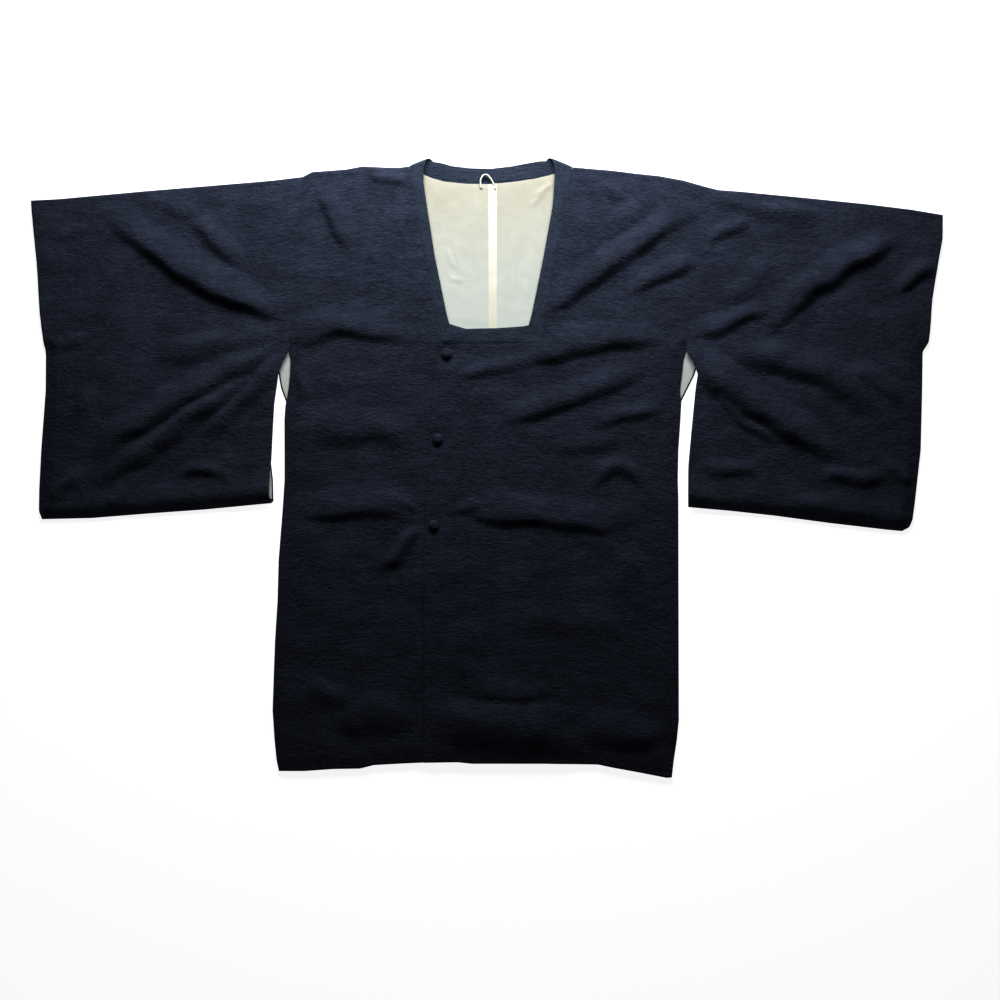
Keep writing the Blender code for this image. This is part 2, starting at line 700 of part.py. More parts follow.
SLEEVE_RIGHT = Sleeve(
    -1, SLEEVE_TOP_RIGHT, SLEEVE_CUFF_RIGHT, SLEEVE_FOOT_RIGHT, SLEEVE_INNER_RIGHT, SLEEVE_BACK_INNER_RIGHT
)
SLEEVE_LEFT = Sleeve(
    1, SLEEVE_TOP_LEFT, SLEEVE_CUFF_LEFT, SLEEVE_FOOT_LEFT, SLEEVE_INNER_LEFT, SLEEVE_BACK_INNER_LEFT
)


def build_sleeve(name, sleeve):
    """One sleeve: a width of cloth folded over its top edge, its foot seam and cuff below the hand closed flat."""
    counts = (SLEEVE_COLUMNS, len(sleeve.back_inner) - 1, SLEEVE_ROWS)

    def no_hole(column, row):
        return False

    return folded_length(name, counts, sleeve.front_plan, sleeve.back_plan, sleeve.level, no_hole, "FIXED", "crepe")


def flat_sheet(name, columns, rows, plan, low, high, material):
    """A level wall of cloth between two heights, its outline given by a plan of column and row shares."""
    bm = bmesh.new()
    bmesh.ops.create_grid(bm, x_segments=columns, y_segments=rows, size=0.5)
    made = bmesh.ops.extrude_face_region(bm, geom=bm.faces[:])
    upper = {v for v in made["geom"] if isinstance(v, bmesh.types.BMVert)}
    for v in bm.verts:
        x, y = plan(v.co.x + 0.5, v.co.y + 0.5)
        v.co = (float(x) * MM, float(y) * MM, (high if v in upper else low) * MM)
    return finish_mesh(name, bm, material)


def build_back_lining(name, side):
    """The lining inside the back, from the neck to below the armholes."""
    seam = LINING_SEAM_X + side.sign * HALF_GAP
    shoulder = sorted(side.shoulder)

    def plan(u, v):
        edge_x = side.back_side_x(np.array(LINING_FOOT_Y)) - side.sign * LINING_INSET
        top_x = mix(side.shoulder_end(0) - side.sign * LINING_INSET, seam, u)
        top = min(
            float(read_table(shoulder, top_x)) - LINING_TOP_INSET if abs(top_x) > 100 else 999.0,
            float(read_table(BACK_NECK, top_x)) - LINING_NECK_INSET,
        )
        y = mix(LINING_FOOT_Y, top, v)
        edge_x = side.back_side_x(np.array(y)) - side.sign * LINING_INSET
        return mix(edge_x, seam, u), y

    return flat_sheet(name, 9, 8, plan, WALL + GAP, LINING_TOP, "lining_silk")


def build_sleeve_lining(name, sleeve):
    """The strip of lining that shows along a sleeve's open inner edge."""
    width = 34.0
    low_y, high_y = -44.0, 140.0

    def plan(u, v):
        y = mix(low_y, high_y, v)
        shares = np.linspace(0, 1, 200)
        xs, ys = edge_point(sleeve.back_inner, shares)
        edge = np.interp(y, ys[::-1], xs[::-1])
        outer = edge + sleeve.sign * (LINING_INSET - 0.7)
        return outer + sleeve.sign * width * u, y

    return flat_sheet(name, 2, 8, plan, WALL + GAP, LINING_TOP, "lining_silk")


def back_neck_edge(side):
    """The corners of the back's neck edge on one side, from the shoulder to the centre."""
    share = np.linspace(side.lap_share, 1, BODY_COLUMNS_LAP + 1)
    x, y = side.back_plan(share, np.full(share.shape, 1 / BODY_BACK_ROWS))
    return list(zip(x, y))


def collar_sections():
    """The collar's sections from its hidden right end round to its left end, with more where they lie far apart."""
    neck = back_neck_edge(BODY_RIGHT) + back_neck_edge(BODY_LEFT)[::-1]
    back = []
    for x, y in neck:
        free_x = CENTRE_X + (x - CENTRE_X) * COLLAR_BACK_NARROWING
        back.append(CollarSection(x, y + HALF_GAP, free_x, float(read_table(COLLAR_TOP, free_x)), 180, 0, 0))
    by_hand = [COLLAR_TO_BACK, COLLAR_FROM_BACK]
    spread = []
    for rows in by_hand:
        for here, after in zip(rows, rows[1:]):
            a, b = np.array(here, float), np.array(after, float)
            reach = max(np.hypot(*(b - a)[0:2]), np.hypot(*(b - a)[2:4]))
            steps = max(1, math.ceil(reach / COLLAR_STEP_LENGTH))
            spread.append([mix(a, b, k / steps) for k in range(steps)])
        spread.append([np.array(rows[-1], float)])
    first = sum(spread[: len(COLLAR_TO_BACK)], [])
    last = sum(spread[len(COLLAR_TO_BACK) :], [])
    return np.array(first + [np.array(row, float) for row in back] + last)


def collar_level(x, y, layer):
    """Height of the collar's underside where it lies on the front."""
    return LINED_BASE + COLLAR_STEP * layer + folds_lift(x, y) * shoulder_factor(y, SHOULDER_RIGHT[-1][1])


def build_collar():
    """The frame collar: one band round the neck, mitred at its lower corners and turned over at the shoulders."""
    rows = collar_sections()
    turn = np.radians(rows[:, 4])
    half = COLLAR_WALL / 2
    edges = []
    for xy, rise in ((rows[:, 0:2], 0.0), (rows[:, 2:4], rows[:, 5])):
        front = collar_level(xy[:, 0], xy[:, 1], rows[:, 6]) + half + rise
        radius = (front - half) / 2
        bend_y = xy[:, 1] + radius * np.sin(turn)
        edges.append(np.column_stack([xy[:, 0], bend_y, half + radius * (1 + np.cos(turn))]))
    seam, free = edges
    inward = free - seam
    inward /= np.linalg.norm(inward, axis=1)[:, None]
    seam = seam + inward * HALF_GAP
    out = np.column_stack([np.zeros(len(rows)), np.sin(turn), np.cos(turn)])

    last = len(rows) - 1
    bm = bmesh.new()
    bmesh.ops.create_grid(bm, x_segments=COLLAR_COLUMNS, y_segments=last, size=0.5)
    made = bmesh.ops.extrude_face_region(bm, geom=bm.faces[:])
    outer = {v for v in made["geom"] if isinstance(v, bmesh.types.BMVert)}
    for v in bm.verts:
        k = round((v.co.y + 0.5) * last)
        place = mix(seam[k], free[k], v.co.x + 0.5)
        v.co = (place + out[k] * (half if v in outer else -half)) * MM
    return finish_mesh("collar", bm, "collar_crepe")


def over_top(x, y):
    """Height of the left front's upper face."""
    x, y = np.array([x], float), np.array([y], float)
    return float((body_base(x, y) + lap_rise(x, y) + folds_lift(x, y))[0]) + WALL


def build_button(name, centre):
    """A cloth-covered dome on a short shank."""
    profile = ((0.0, 0.0), (3.0, 0.0), (3.0, 1.0), (7.0, 1.1), (BUTTON_RADIUS, 2.1), (6.7, 3.9), (4.2, 5.2), (0.0, 5.8))
    steps = 16
    base = over_top(*centre) + GAP
    bm = bmesh.new()
    ring = [bm.verts.new((radius * MM, 0, height * MM)) for radius, height in profile]
    edges = [bm.edges.new(pair) for pair in zip(ring, ring[1:])]
    bmesh.ops.spin(
        bm, geom=ring + edges, cent=(0, 0, 0), axis=(0, 0, 1), angle=math.tau, steps=steps, use_merge=True
    )
    bmesh.ops.remove_doubles(bm, verts=bm.verts[:], dist=1e-6)
    bmesh.ops.dissolve_degenerate(bm, edges=bm.edges[:], dist=1e-6)
    button = finish_mesh(name, bm, "button_crepe")
    button.location = (centre[0] * MM, centre[1] * MM, base * MM)
    return button


def build_hanging_loop():
    """The small loop at the back of the neck, a narrow tube of lining silk sewn down at both ends."""
    radius = 1.3
    lying = LINING_TOP + GAP + radius + 0.1
    route = (
        (-8.0, 399.0, 0.0),
        (-9.2, 404.5, 0.2),
        (-9.2, 411.0, 0.8),
        (-5.6, 417.0, 1.4),
        (-0.2, 418.0, 1.6),
        (4.4, 413.6, 1.4),
        (8.4, 407.4, 0.8),
        (10.6, 402.0, 0.2),
        (11.6, 398.0, 0.0),
    )
    curve = bpy.data.curves.new("hanging_loop", "CURVE")
    curve.dimensions = "3D"
    curve.bevel_depth = radius * MM
    curve.bevel_resolution = 2
    curve.use_fill_caps = True
    spline = curve.splines.new("POLY")
    steps = np.linspace(0, len(route) - 1, 2 * len(route) - 1)
    columns = np.array(route, float).T
    places = np.column_stack([np.interp(steps, range(len(route)), column) for column in columns])
    spline.points.add(len(places) - 1)
    for point, (x, y, z) in zip(spline.points, places):
        point.co = (x * MM, y * MM, (z + lying) * MM, 1)
    loop = bpy.data.objects.new("hanging_loop", curve)
    bpy.context.scene.collection.objects.link(loop)
    loop.data.materials.append(cloth_material("loop_silk"))
    return loop


def main():
    remove_old_objects()
    build_body("body_right", BODY_RIGHT)
    build_body("body_left", BODY_LEFT)
    build_sleeve("sleeve_right", SLEEVE_RIGHT)
    build_sleeve("sleeve_left", SLEEVE_LEFT)
    build_back_lining("back_lining_right", BODY_RIGHT)
    build_back_lining("back_lining_left", BODY_LEFT)
    build_sleeve_lining("sleeve_lining_right", SLEEVE_RIGHT)
    build_sleeve_lining("sleeve_lining_left", SLEEVE_LEFT)
    build_collar()
    for number, centre in enumerate(BUTTON_CENTRES, 1):
        build_button(f"button_{number}", centre)
    build_hanging_loop()


main()
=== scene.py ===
"""The looks of a square-necked kimono coat (michiyuki), laid flat and buttoned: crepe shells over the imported
solids, pale lining, covered buttons, hanging loop, floor, lights and camera.

The shells follow the same outline tables as the solids, in millimetres, on a finer grid and with finer folds.
"""
import math
from collections import namedtuple

import bmesh
import bpy
import numpy as np
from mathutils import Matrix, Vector, noise


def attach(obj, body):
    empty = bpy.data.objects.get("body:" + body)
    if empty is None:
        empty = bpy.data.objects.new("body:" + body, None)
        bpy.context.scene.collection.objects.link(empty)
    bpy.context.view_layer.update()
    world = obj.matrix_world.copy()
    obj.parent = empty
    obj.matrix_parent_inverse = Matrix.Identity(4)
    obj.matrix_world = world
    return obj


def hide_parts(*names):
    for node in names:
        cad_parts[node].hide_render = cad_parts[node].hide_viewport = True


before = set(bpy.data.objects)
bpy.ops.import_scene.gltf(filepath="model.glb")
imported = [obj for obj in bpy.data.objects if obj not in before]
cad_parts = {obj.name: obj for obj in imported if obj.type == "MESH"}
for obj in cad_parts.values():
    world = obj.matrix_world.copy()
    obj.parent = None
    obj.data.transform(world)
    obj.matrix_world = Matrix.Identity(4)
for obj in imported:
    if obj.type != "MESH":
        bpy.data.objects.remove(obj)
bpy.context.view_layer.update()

bl_info = {
    "name": "Kimono coat, laid flat",
    "version": (1, 0, 0),
    "blender": (4, 5, 0),
    "location": "View3D > Sidebar > Coat",
    "description": "Builds the cloth, lining, buttons and stage of a michiyuki coat round its packed solids",
    "category": "Add Mesh",
}

MM = 0.001

# Walls and the stack of layers, from the solids
WALL = 1.5
LINING_WALL = 1.0
COLLAR_WALL = 1.8
GAP = 0.3
SEAM_GAP = 0.02
LINING_TOP = WALL + GAP + LINING_WALL
BARE_BASE = WALL + GAP
LINED_BASE = LINING_TOP + GAP
OVERLAP_STEP = WALL + GAP
COLLAR_STEP = COLLAR_WALL + GAP

# Where the coat's parts lie
CENTRE_X = 3.0
LINING_SEAM_X = 7.0
LINING_FOLD_X = 14.0
LINING_FOOT_Y = 60.0
LINED_FADE = 40.0
LINING_INSET = 2.2
LINING_TOP_INSET = 7.5
LINING_NECK_INSET = 0.8
LINING_GRID = (96, 110)
ARMPIT_Y = 165.7
SIDE_SEAM_TOP_Y = 94.0
HEM_LEVEL = -425.0
UNDER_HEM_INSET = 4.0
BACK_HEM_INSET = 1.0
SHOULDER_TURN = 6.0
BACK_EASE = 0.3
BUTTON_CENTRES = ((-57.1, 162.9), (-70.0, 41.4), (-75.7, -81.4))
BUTTON_RADIUS = 7.6
BUTTON_REST = 14.0
BUTTON_SIDES = 48

# Shoulder fold: x, y
SHOULDER_RIGHT = (
    (-262.9, 415.0),
    (-250.0, 422.0),
    (-201.4, 425.7),
    (-178.6, 430.0),
    (-150.0, 428.6),
    (-127.0, 428.0),
    (-111.0, 430.0),
)
SHOULDER_LEFT = (
    (122.0, 429.0),
    (141.4, 427.1),
    (176.0, 424.3),
    (210.0, 420.0),
    (244.3, 416.4),
    (278.6, 410.0),
    (308.6, 401.4),
)

# Straight seams: (x, y) at the shoulder, (x, y) at the lower end
COLLAR_SEAM_RIGHT = ((-111.0, 430.0), (-68.6, 175.7))
COLLAR_SEAM_LEFT = ((122.0, 429.0), (77.0, 178.6))
NECK_SEAM = ((-68.6, 175.7), (77.0, 178.6))
FRONT_ARM_SEAM_RIGHT = ((-262.9, 415.0), (-282.5, 165.7))
FRONT_ARM_SEAM_LEFT = ((308.6, 401.4), (283.5, 165.7))
BACK_ARM_SEAM_RIGHT = ((-262.9, 415.0), (-300.0, 146.0))
BACK_ARM_SEAM_LEFT = ((308.6, 401.4), (303.0, 151.0))

# Edges below the armhole: y, x
FRONT_SIDE_RIGHT = (
    (-440.0, -295.0),
    (-417.0, -300.0),
    (-388.6, -302.9),
    (-345.7, -305.7),
    (-303.0, -304.3),
    (-245.7, -302.2),
    (-188.6, -298.6),
    (-131.4, -297.1),
    (-60.0, -291.4),
    (-17.0, -288.6),
    (68.6, -288.6),
    (90.0, -287.1),
    (111.0, -282.9),
    (133.0, -280.7),
    (154.0, -280.0),
    (165.7, -282.2),
)
FRONT_SIDE_LEFT = (
    (-442.0, 263.6),
    (-417.0, 266.4),
    (-388.6, 270.7),
    (-360.0, 273.6),
    (-45.7, 272.9),
    (-17.0, 272.1),
    (25.7, 272.9),
    (68.6, 275.7),
    (94.0, 277.1),
    (111.0, 275.0),
    (133.0, 277.9),
    (154.0, 280.0),
    (165.7, 283.2),
)
BACK_SLIT_RIGHT = ((94.0, -286.9), (114.0, -294.3), (146.0, -299.7))
BACK_SLIT_LEFT = ((94.0, 277.1), (131.4, 295.7), (151.0, 302.7))
OVER_EDGE = ((-420.0, -90.0), (-131.4, -90.0), (-81.4, -88.6), (54.3, -81.4), (150.0, -73.5), (176.0, -68.6))
UNDER_EDGE = ((-420.0, 97.0), (-131.4, 97.0), (-81.4, 95.8), (54.3, 88.6), (150.0, 81.0), (179.0, 77.0))
BACK_NECK_SIDE_RIGHT = ((-420.0, -96.0), (424.0, -103.0), (430.0, -111.0))
BACK_NECK_SIDE_LEFT = ((-420.0, 102.0), (424.0, 113.0), (429.0, 122.0))

# Hem: x, y
HEM = (
    (-306.0, -432.3),
    (-261.4, -432.1),
    (-221.4, -429.3),
    (-181.4, -428.6),
    (-161.4, -423.6),
    (-121.4, -421.4),
    (-90.0, -420.0),
    (-41.4, -419.3),
    (-21.4, -421.4),
    (78.6, -421.4),
    (158.6, -422.9),
    (178.6, -427.1),
    (218.6, -434.3),
    (258.6, -442.0),
    (275.0, -440.7),
)

# Back neck seam: x, y
BACK_NECK = (
    (-111.0, 426.0),
    (-103.0, 423.5),
    (-90.0, 419.0),
    (-78.6, 414.3),
    (-60.0, 409.3),
    (-31.0, 406.4),
    (4.3, 405.7),
    (40.0, 409.3),
    (68.6, 413.6),
    (87.0, 417.9),
    (100.0, 421.4),
    (113.0, 424.0),
    (122.0, 425.5),
)

# Sleeves: each edge as (x, y) from its first corner to its last
SLEEVE_TOP_RIGHT = (
    (-650.0, 381.5),
    (-612.9, 383.4),
    (-492.9, 394.3),
    (-390.0, 402.9),
    (-304.3, 410.0),
    (-262.9, 415.0),
)
SLEEVE_CUFF_RIGHT = (
    (-650.0, 381.5),
    (-647.0, 347.0),
    (-641.4, 294.3),
    (-637.0, 218.6),
    (-631.4, 175.7),
    (-629.0, 165.7),
    (-629.3, 111.4),
    (-635.7, 25.7),
    (-638.6, -31.4),
    (-639.0, -62.0),
    (-634.5, -73.0),
)
SLEEVE_FOOT_RIGHT = (
    (-634.5, -73.0),
    (-564.3, -71.4),
    (-484.3, -65.0),
    (-404.3, -59.3),
    (-344.3, -53.6),
    (-306.4, -50.0),
)
SLEEVE_INNER_RIGHT = (
    (-262.9, 415.0),
    (-282.5, 165.7),
    (-290.0, 152.9),
    (-297.1, 132.9),
    (-302.9, 90.0),
    (-307.1, 11.4),
    (-309.5, -17.0),
    (-310.0, -40.0),
    (-306.4, -50.0),
)
SLEEVE_BACK_INNER_RIGHT = (
    (-262.9, 415.0),
    (-300.0, 146.0),
    (-307.0, 90.0),
    (-309.0, 11.4),
    (-305.7, -17.0),
    (-305.0, -48.0),
)
SLEEVE_TOP_LEFT = (
    (650.0, 361.0),
    (604.3, 368.6),
    (535.7, 377.0),
    (450.0, 385.7),
    (364.3, 393.6),
    (330.0, 396.0),
    (308.6, 401.4),
)
SLEEVE_CUFF_LEFT = (
    (650.0, 361.0),
    (648.6, 325.7),
    (641.4, 282.9),
    (634.3, 240.0),
    (631.4, 197.0),
    (629.3, 178.6),
    (621.4, 165.7),
    (620.7, 111.4),
    (618.6, 25.7),
    (610.7, -45.7),
    (607.0, -74.0),
    (602.5, -84.5),
    (592.0, -90.0),
)
SLEEVE_FOOT_LEFT = (
    (592.0, -90.0),
    (570.0, -87.9),
    (490.0, -78.6),
    (410.0, -67.9),
    (350.0, -61.4),
    (287.0, -55.7),
)
SLEEVE_INNER_LEFT = (
    (308.6, 401.4),
    (283.5, 165.7),
    (291.4, 155.7),
    (300.0, 132.9),
    (297.0, 111.4),
    (290.7, 47.0),
    (287.0, 4.3),
    (286.0, -38.6),
    (287.0, -55.7),
)
SLEEVE_BACK_INNER_LEFT = (
    (308.6, 401.4),
    (303.0, 151.0),
    (296.0, 90.0),
    (291.5, 47.0),
    (289.5, -17.0),
    (288.5, -54.0),
)

# Collar: where its seam and its free edge lie, how far it has turned over the shoulder (degrees), how much
# its free edge rises, and 1 where it lies on the other side's collar. Its back stretch follows the neck edge.
CollarSection = namedtuple("CollarSection", "seam_x seam_y free_x free_y turn rise layer")
COLLAR_TO_BACK = [
    CollarSection(46.0, 178.0, 46.0, 199.5, 0, 0, 0),
    CollarSection(-30.0, 176.5, -30.0, 198.0, 0, 0, 0),
    CollarSection(-68.6, 175.7, -53.6, 205.0, 0, 0, 0),
    CollarSection(-74.6, 211.7, -57.4, 218.6, 0, 0, 0),
    CollarSection(-89.9, 304.0, -74.9, 304.0, 0, 0, 0),
    CollarSection(-103.1, 383.0, -86.5, 379.0, 0, 0, 0),
    CollarSection(-108.3, 414.0, -90.5, 408.0, 0, 0.5, 0),
    CollarSection(-110.0, 423.0, -90.2, 424.0, 0, 1.8, 0),
    CollarSection(-110.6, 427.7, -87.5, 434.0, 0, 3.0, 0),
    CollarSection(-110.6, 427.7, -85.5, 436.0, 45, 3.0, 0),
    CollarSection(-110.6, 427.7, -83.0, 437.0, 90, 3.0, 0),
    CollarSection(-110.6, 427.9, -80.0, 437.5, 135, 3.0, 0),
    CollarSection(-110.2, 428.1, -76.5, 437.0, 180, 3.0, 0),
]
COLLAR_FROM_BACK = [
    CollarSection(121.2, 427.1, 84.0, 438.0, 180, 3.0, 0),
    CollarSection(121.6, 426.9, 86.5, 438.0, 135, 3.0, 0),
    CollarSection(121.6, 426.7, 89.5, 437.5, 90, 3.0, 0),
    CollarSection(121.6, 426.7, 92.5, 436.0, 45, 3.0, 0),
    CollarSection(121.6, 426.7, 95.0, 433.0, 0, 3.0, 0),
    CollarSection(120.7, 422.0, 96.4, 423.0, 0, 1.8, 0),
    CollarSection(119.1, 413.0, 96.2, 408.0, 0, 0.5, 0),
    CollarSection(113.0, 379.0, 94.0, 375.0, 0, 0, 0),
    CollarSection(99.6, 304.7, 81.4, 304.7, 0, 0, 0),
    CollarSection(84.2, 219.0, 64.0, 219.0, 0, 0, 0),
    CollarSection(77.0, 178.8, 59.4, 203.0, 0, 0, 0.3),
    CollarSection(55.0, 178.4, 50.0, 201.0, 0, 0, 1),
    CollarSection(4.0, 177.4, 4.0, 198.0, 0, 0, 1),
    CollarSection(-64.0, 176.2, -38.6, 196.5, 0, 0, 1),
]
# Top of the back collar: x, y
COLLAR_TOP = (
    (-76.5, 437.0),
    (-66.0, 435.5),
    (-50.0, 431.0),
    (-25.0, 428.0),
    (4.3, 427.1),
    (35.0, 430.6),
    (58.0, 435.0),
    (76.0, 438.0),
    (84.0, 438.0),
)
COLLAR_BACK_NARROWING = 0.72
COLLAR_COLUMNS = 8
COLLAR_CROWN = 0.35

# Covered button: radius, height
BUTTON_PROFILE = (
    (0.0, 0.0),
    (3.0, 0.0),
    (3.0, 1.0),
    (6.4, 1.0),
    (7.2, 1.3),
    (7.6, 2.0),
    (7.5, 2.7),
    (7.0, 3.5),
    (6.2, 4.2),
    (5.2, 4.8),
    (4.0, 5.25),
    (2.8, 5.55),
    (1.4, 5.75),
    (0.0, 5.8),
)

# Hanging loop: x, y, rise
LOOP_ROUTE = (
    (-8.0, 399.0, 0.0),
    (-9.2, 404.5, 0.2),
    (-9.2, 411.0, 0.8),
    (-5.6, 417.0, 1.4),
    (-0.2, 418.0, 1.6),
    (4.4, 413.6, 1.4),
    (8.4, 407.4, 0.8),
    (10.6, 402.0, 0.2),
    (11.6, 398.0, 0.0),
)

LOOP_RADIUS = 1.3
LOOP_SIDES = 14
LOOP_POINTS = 60

# Sleeve lining
SLEEVE_LINING_WIDTH = 34.0
SLEEVE_LINING_SPAN = (-44.0, 140.0)
SLEEVE_LINING_INSET = 1.5
SLEEVE_LINING_GRID = (8, 46)

# Roll along the sleeves' feet
FOOT_ROLL = 3.6
FOOT_ROLL_CREST = 15.0
FOOT_ROLL_FALL = 34.0

# Furrow of the armhole seams
ARM_SEAM_DIP = 0.5
ARM_SEAM_REACH = 4.0

# Folds: the crest runs from start through middle to end. Spreads are to the left and right of that direction.
# A negative height is a trough pressed into the loft of the cloth.
Fold = namedtuple("Fold", "start middle end height left right")
FOLDS = [
    # Wearer's right sleeve
    Fold((-558.6, 374.3), (-410.0, 267.1), (-270.0, 211.4), 10.5, 42, 18),
    Fold((-434.3, 355.7), (-392.9, 325.7), (-344.3, 274.3), 5.0, 26, 13),
    Fold((-512.9, 394.3), (-450.0, 375.7), (-387.1, 351.4), 2.6, 20, 18),
    Fold((-621.4, 321.4), (-590.0, 337.1), (-558.6, 345.7), 3.0, 16, 12),
    Fold((-284.3, 197.1), (-370.0, 175.7), (-495.7, 165.7), 6.0, 26, 26),
    Fold((-284.3, 180.0), (-421.4, 108.6), (-581.4, 8.6), 11.0, 24, 30),
    Fold((-318.6, 145.7), (-438.6, 62.9), (-567.1, -31.4), 10.5, 26, 20),
    Fold((-287.1, 165.7), (-344.3, 102.9), (-415.7, 31.4), 7.5, 22, 18),
    Fold((-444.3, -25.7), (-404.3, 0.0), (-358.6, -28.6), 5.0, 16, 13),
    Fold((-524.3, 165.7), (-567.1, 120.0), (-590.0, 45.7), 4.0, 24, 24),
    Fold((-632.9, 172.9), (-601.4, 180.0), (-555.7, 185.7), 3.4, 12, 12),
    Fold((-564.3, -2.9), (-601.4, -25.7), (-627.1, -45.7), 4.5, 16, 16),
    Fold((-481.4, 8.6), (-518.6, -34.3), (-535.7, -57.1), 3.5, 14, 16),
    Fold((-358.6, 40.0), (-381.4, -2.9), (-390.0, -45.7), 2.6, 14, 16),
    # Wearer's right front
    Fold((-241.4, 402.9), (-218.6, 354.3), (-192.9, 300.0), 5.0, 30, 11),
    Fold((-172.9, 425.7), (-144.3, 417.1), (-107.1, 400.0), 5.0, 22, 15),
    Fold((-278.6, 174.3), (-195.7, 197.1), (-78.6, 174.3), 6.0, 42, 16),
    Fold((-267.1, 57.1), (-181.4, 54.3), (-90.0, 42.9), 4.6, 44, 30),
    Fold((-272.9, -74.3), (-181.4, -57.1), (-95.7, -70.0), 6.0, 40, 18),
    Fold((-95.7, -80.0), (-121.4, -110.0), (-155.7, -154.3), 6.5, 16, 12),
    Fold((-98.6, -62.9), (-118.6, -51.4), (-144.3, -37.1), 3.4, 10, 10),
    Fold((-278.6, 148.6), (-267.1, 120.0), (-258.6, 85.7), 3.0, 16, 14),
    Fold((-224.3, -362.9), (-164.3, -348.6), (-90.0, -357.1), 6.0, 32, 42),
    Fold((-272.9, -305.7), (-218.6, -322.9), (-170.0, -348.6), 3.0, 26, 24),
    # Wearer's left front
    Fold((27.1, 137.1), (144.3, 177.1), (264.3, 180.0), 7.5, 38, 18),
    Fold((-50.0, 128.6), (7.1, 142.9), (67.1, 151.4), 3.4, 18, 15),
    Fold((18.6, 65.7), (121.4, 100.0), (252.9, 151.4), 6.0, 30, 17),
    Fold((138.6, 57.1), (195.7, 71.4), (258.6, 85.7), 4.0, 20, 14),
    Fold((87.1, 22.9), (141.4, 34.3), (204.3, 51.4), 2.8, 22, 18),
    Fold((147.1, -34.3), (187.1, 2.9), (232.9, -40.0), 5.0, 18, 14),
    Fold((-50.0, -62.9), (75.7, -71.4), (238.6, -85.7), 6.0, 40, 18),
    Fold((-52.9, -68.6), (-21.4, -57.1), (18.6, -54.3), 3.2, 12, 12),
    Fold((-90.0, -360.0), (18.6, -365.7), (150.0, -374.3), 9.5, 44, 46),
    Fold((112.9, -371.4), (192.9, -377.1), (252.9, -388.6), 6.5, 34, 32),
    Fold((27.1, -211.4), (130.0, -220.0), (224.3, -225.7), 2.6, 36, 30),
    Fold((-41.4, -311.4), (27.1, -320.0), (104.3, -322.9), 4.0, 26, 22),
    Fold((67.1, 208.6), (184.3, 294.3), (304.3, 377.1), 8.5, 34, 17),
    Fold((192.9, 240.0), (252.9, 277.1), (307.1, 285.7), 5.2, 22, 13),
    Fold((158.6, 405.7), (175.7, 394.3), (198.6, 382.9), 3.0, 14, 14),
    Fold((144.3, 325.7), (190.0, 351.4), (235.7, 385.7), 2.6, 24, 20),
    # Wearer's left sleeve
    Fold((310.0, 321.4), (344.3, 340.0), (378.6, 354.3), 4.5, 18, 13),
    Fold((230.0, 422.9), (367.1, 385.7), (507.1, 342.9), 6.5, 26, 28),
    Fold((387.1, 188.6), (498.6, 280.0), (598.6, 322.9), 10.0, 36, 19),
    Fold((572.9, 245.7), (610.0, 271.4), (641.4, 288.6), 6.0, 20, 13),
    Fold((290.0, 184.3), (350.0, 207.1), (421.4, 231.4), 5.5, 26, 14),
    Fold((330.0, 234.3), (370.0, 260.0), (410.0, 300.0), 2.6, 24, 20),
    Fold((284.3, 174.3), (367.1, 97.1), (541.4, -2.9), 12.0, 38, 24),
    Fold((312.9, 157.1), (458.6, 140.0), (578.6, 51.4), 9.0, 36, 25),
    Fold((507.1, 148.6), (555.7, 122.9), (598.6, 82.9), 5.0, 22, 16),
    Fold((310.0, 137.1), (364.3, 68.6), (421.4, 28.6), 4.5, 12, 12),
    Fold((472.9, -8.6), (518.6, -12.9), (572.9, -14.3), 5.5, 22, 16),
    Fold((301.4, 7.1), (344.3, -2.9), (395.7, 2.9), 3.6, 18, 15),
    Fold((561.4, 14.3), (587.1, -8.6), (607.1, -22.9), 4.0, 16, 14),
    Fold((418.6, -45.7), (492.9, -54.3), (572.9, -65.7), 2.6, 18, 14),
]
CREST_STEPS = 12
FOLD_END = 0.32
FOLD_WANDER = 7.0
WANDER_LENGTH = 46.0
SEWN_FADE = 20.0
SHOULDER_FADE = 26.0
SHOULDER_KEEP = 0.45
NECK_FLAT = 10.0
TURN_EASE = 24.0

# Small creases in the lining, in the same columns
LINING_FOLDS = [
    Fold((96.0, 408.0), (82.0, 398.0), (66.0, 386.0), 1.3, 6, 4),
    Fold((88.0, 396.0), (72.0, 384.0), (60.0, 370.0), 0.9, 5, 4),
    Fold((27.0, 384.0), (26.0, 300.0), (29.0, 212.0), 0.8, 7, 4),
    Fold((38.0, 350.0), (40.0, 290.0), (37.0, 240.0), 0.6, 6, 5),
    Fold((-48.0, 340.0), (-42.0, 300.0), (-36.0, 262.0), 0.6, 6, 5),
    Fold((-60.0, 322.0), (-52.0, 296.0), (-44.0, 284.0), 0.7, 5, 4),
    Fold((-56.0, 274.0), (-44.0, 268.0), (-30.0, 268.0), 0.7, 5, 4),
    Fold((56.0, 330.0), (62.0, 280.0), (50.0, 230.0), 0.6, 8, 6),
    Fold((-14.0, 392.0), (-16.0, 330.0), (-12.0, 250.0), 0.4, 8, 8),
]


# Stage, in metres: the key light lies low beyond the neck, the camera hangs straight above
KEY_PLACE = (0.0, 0.85, 0.42)
KEY_AIM = (0.0, 0.24, 0.0)
KEY_SIZE = (0.95, 0.26)
KEY_WATTS = 12.0
KEY_COLOUR = (1.0, 0.99, 0.97)
SKY_COLOUR = (0.95, 0.97, 1.0, 1.0)
SKY_STRENGTH = 0.025
CAMERA_PLACE = (0.0186, -0.0457, 1.984)


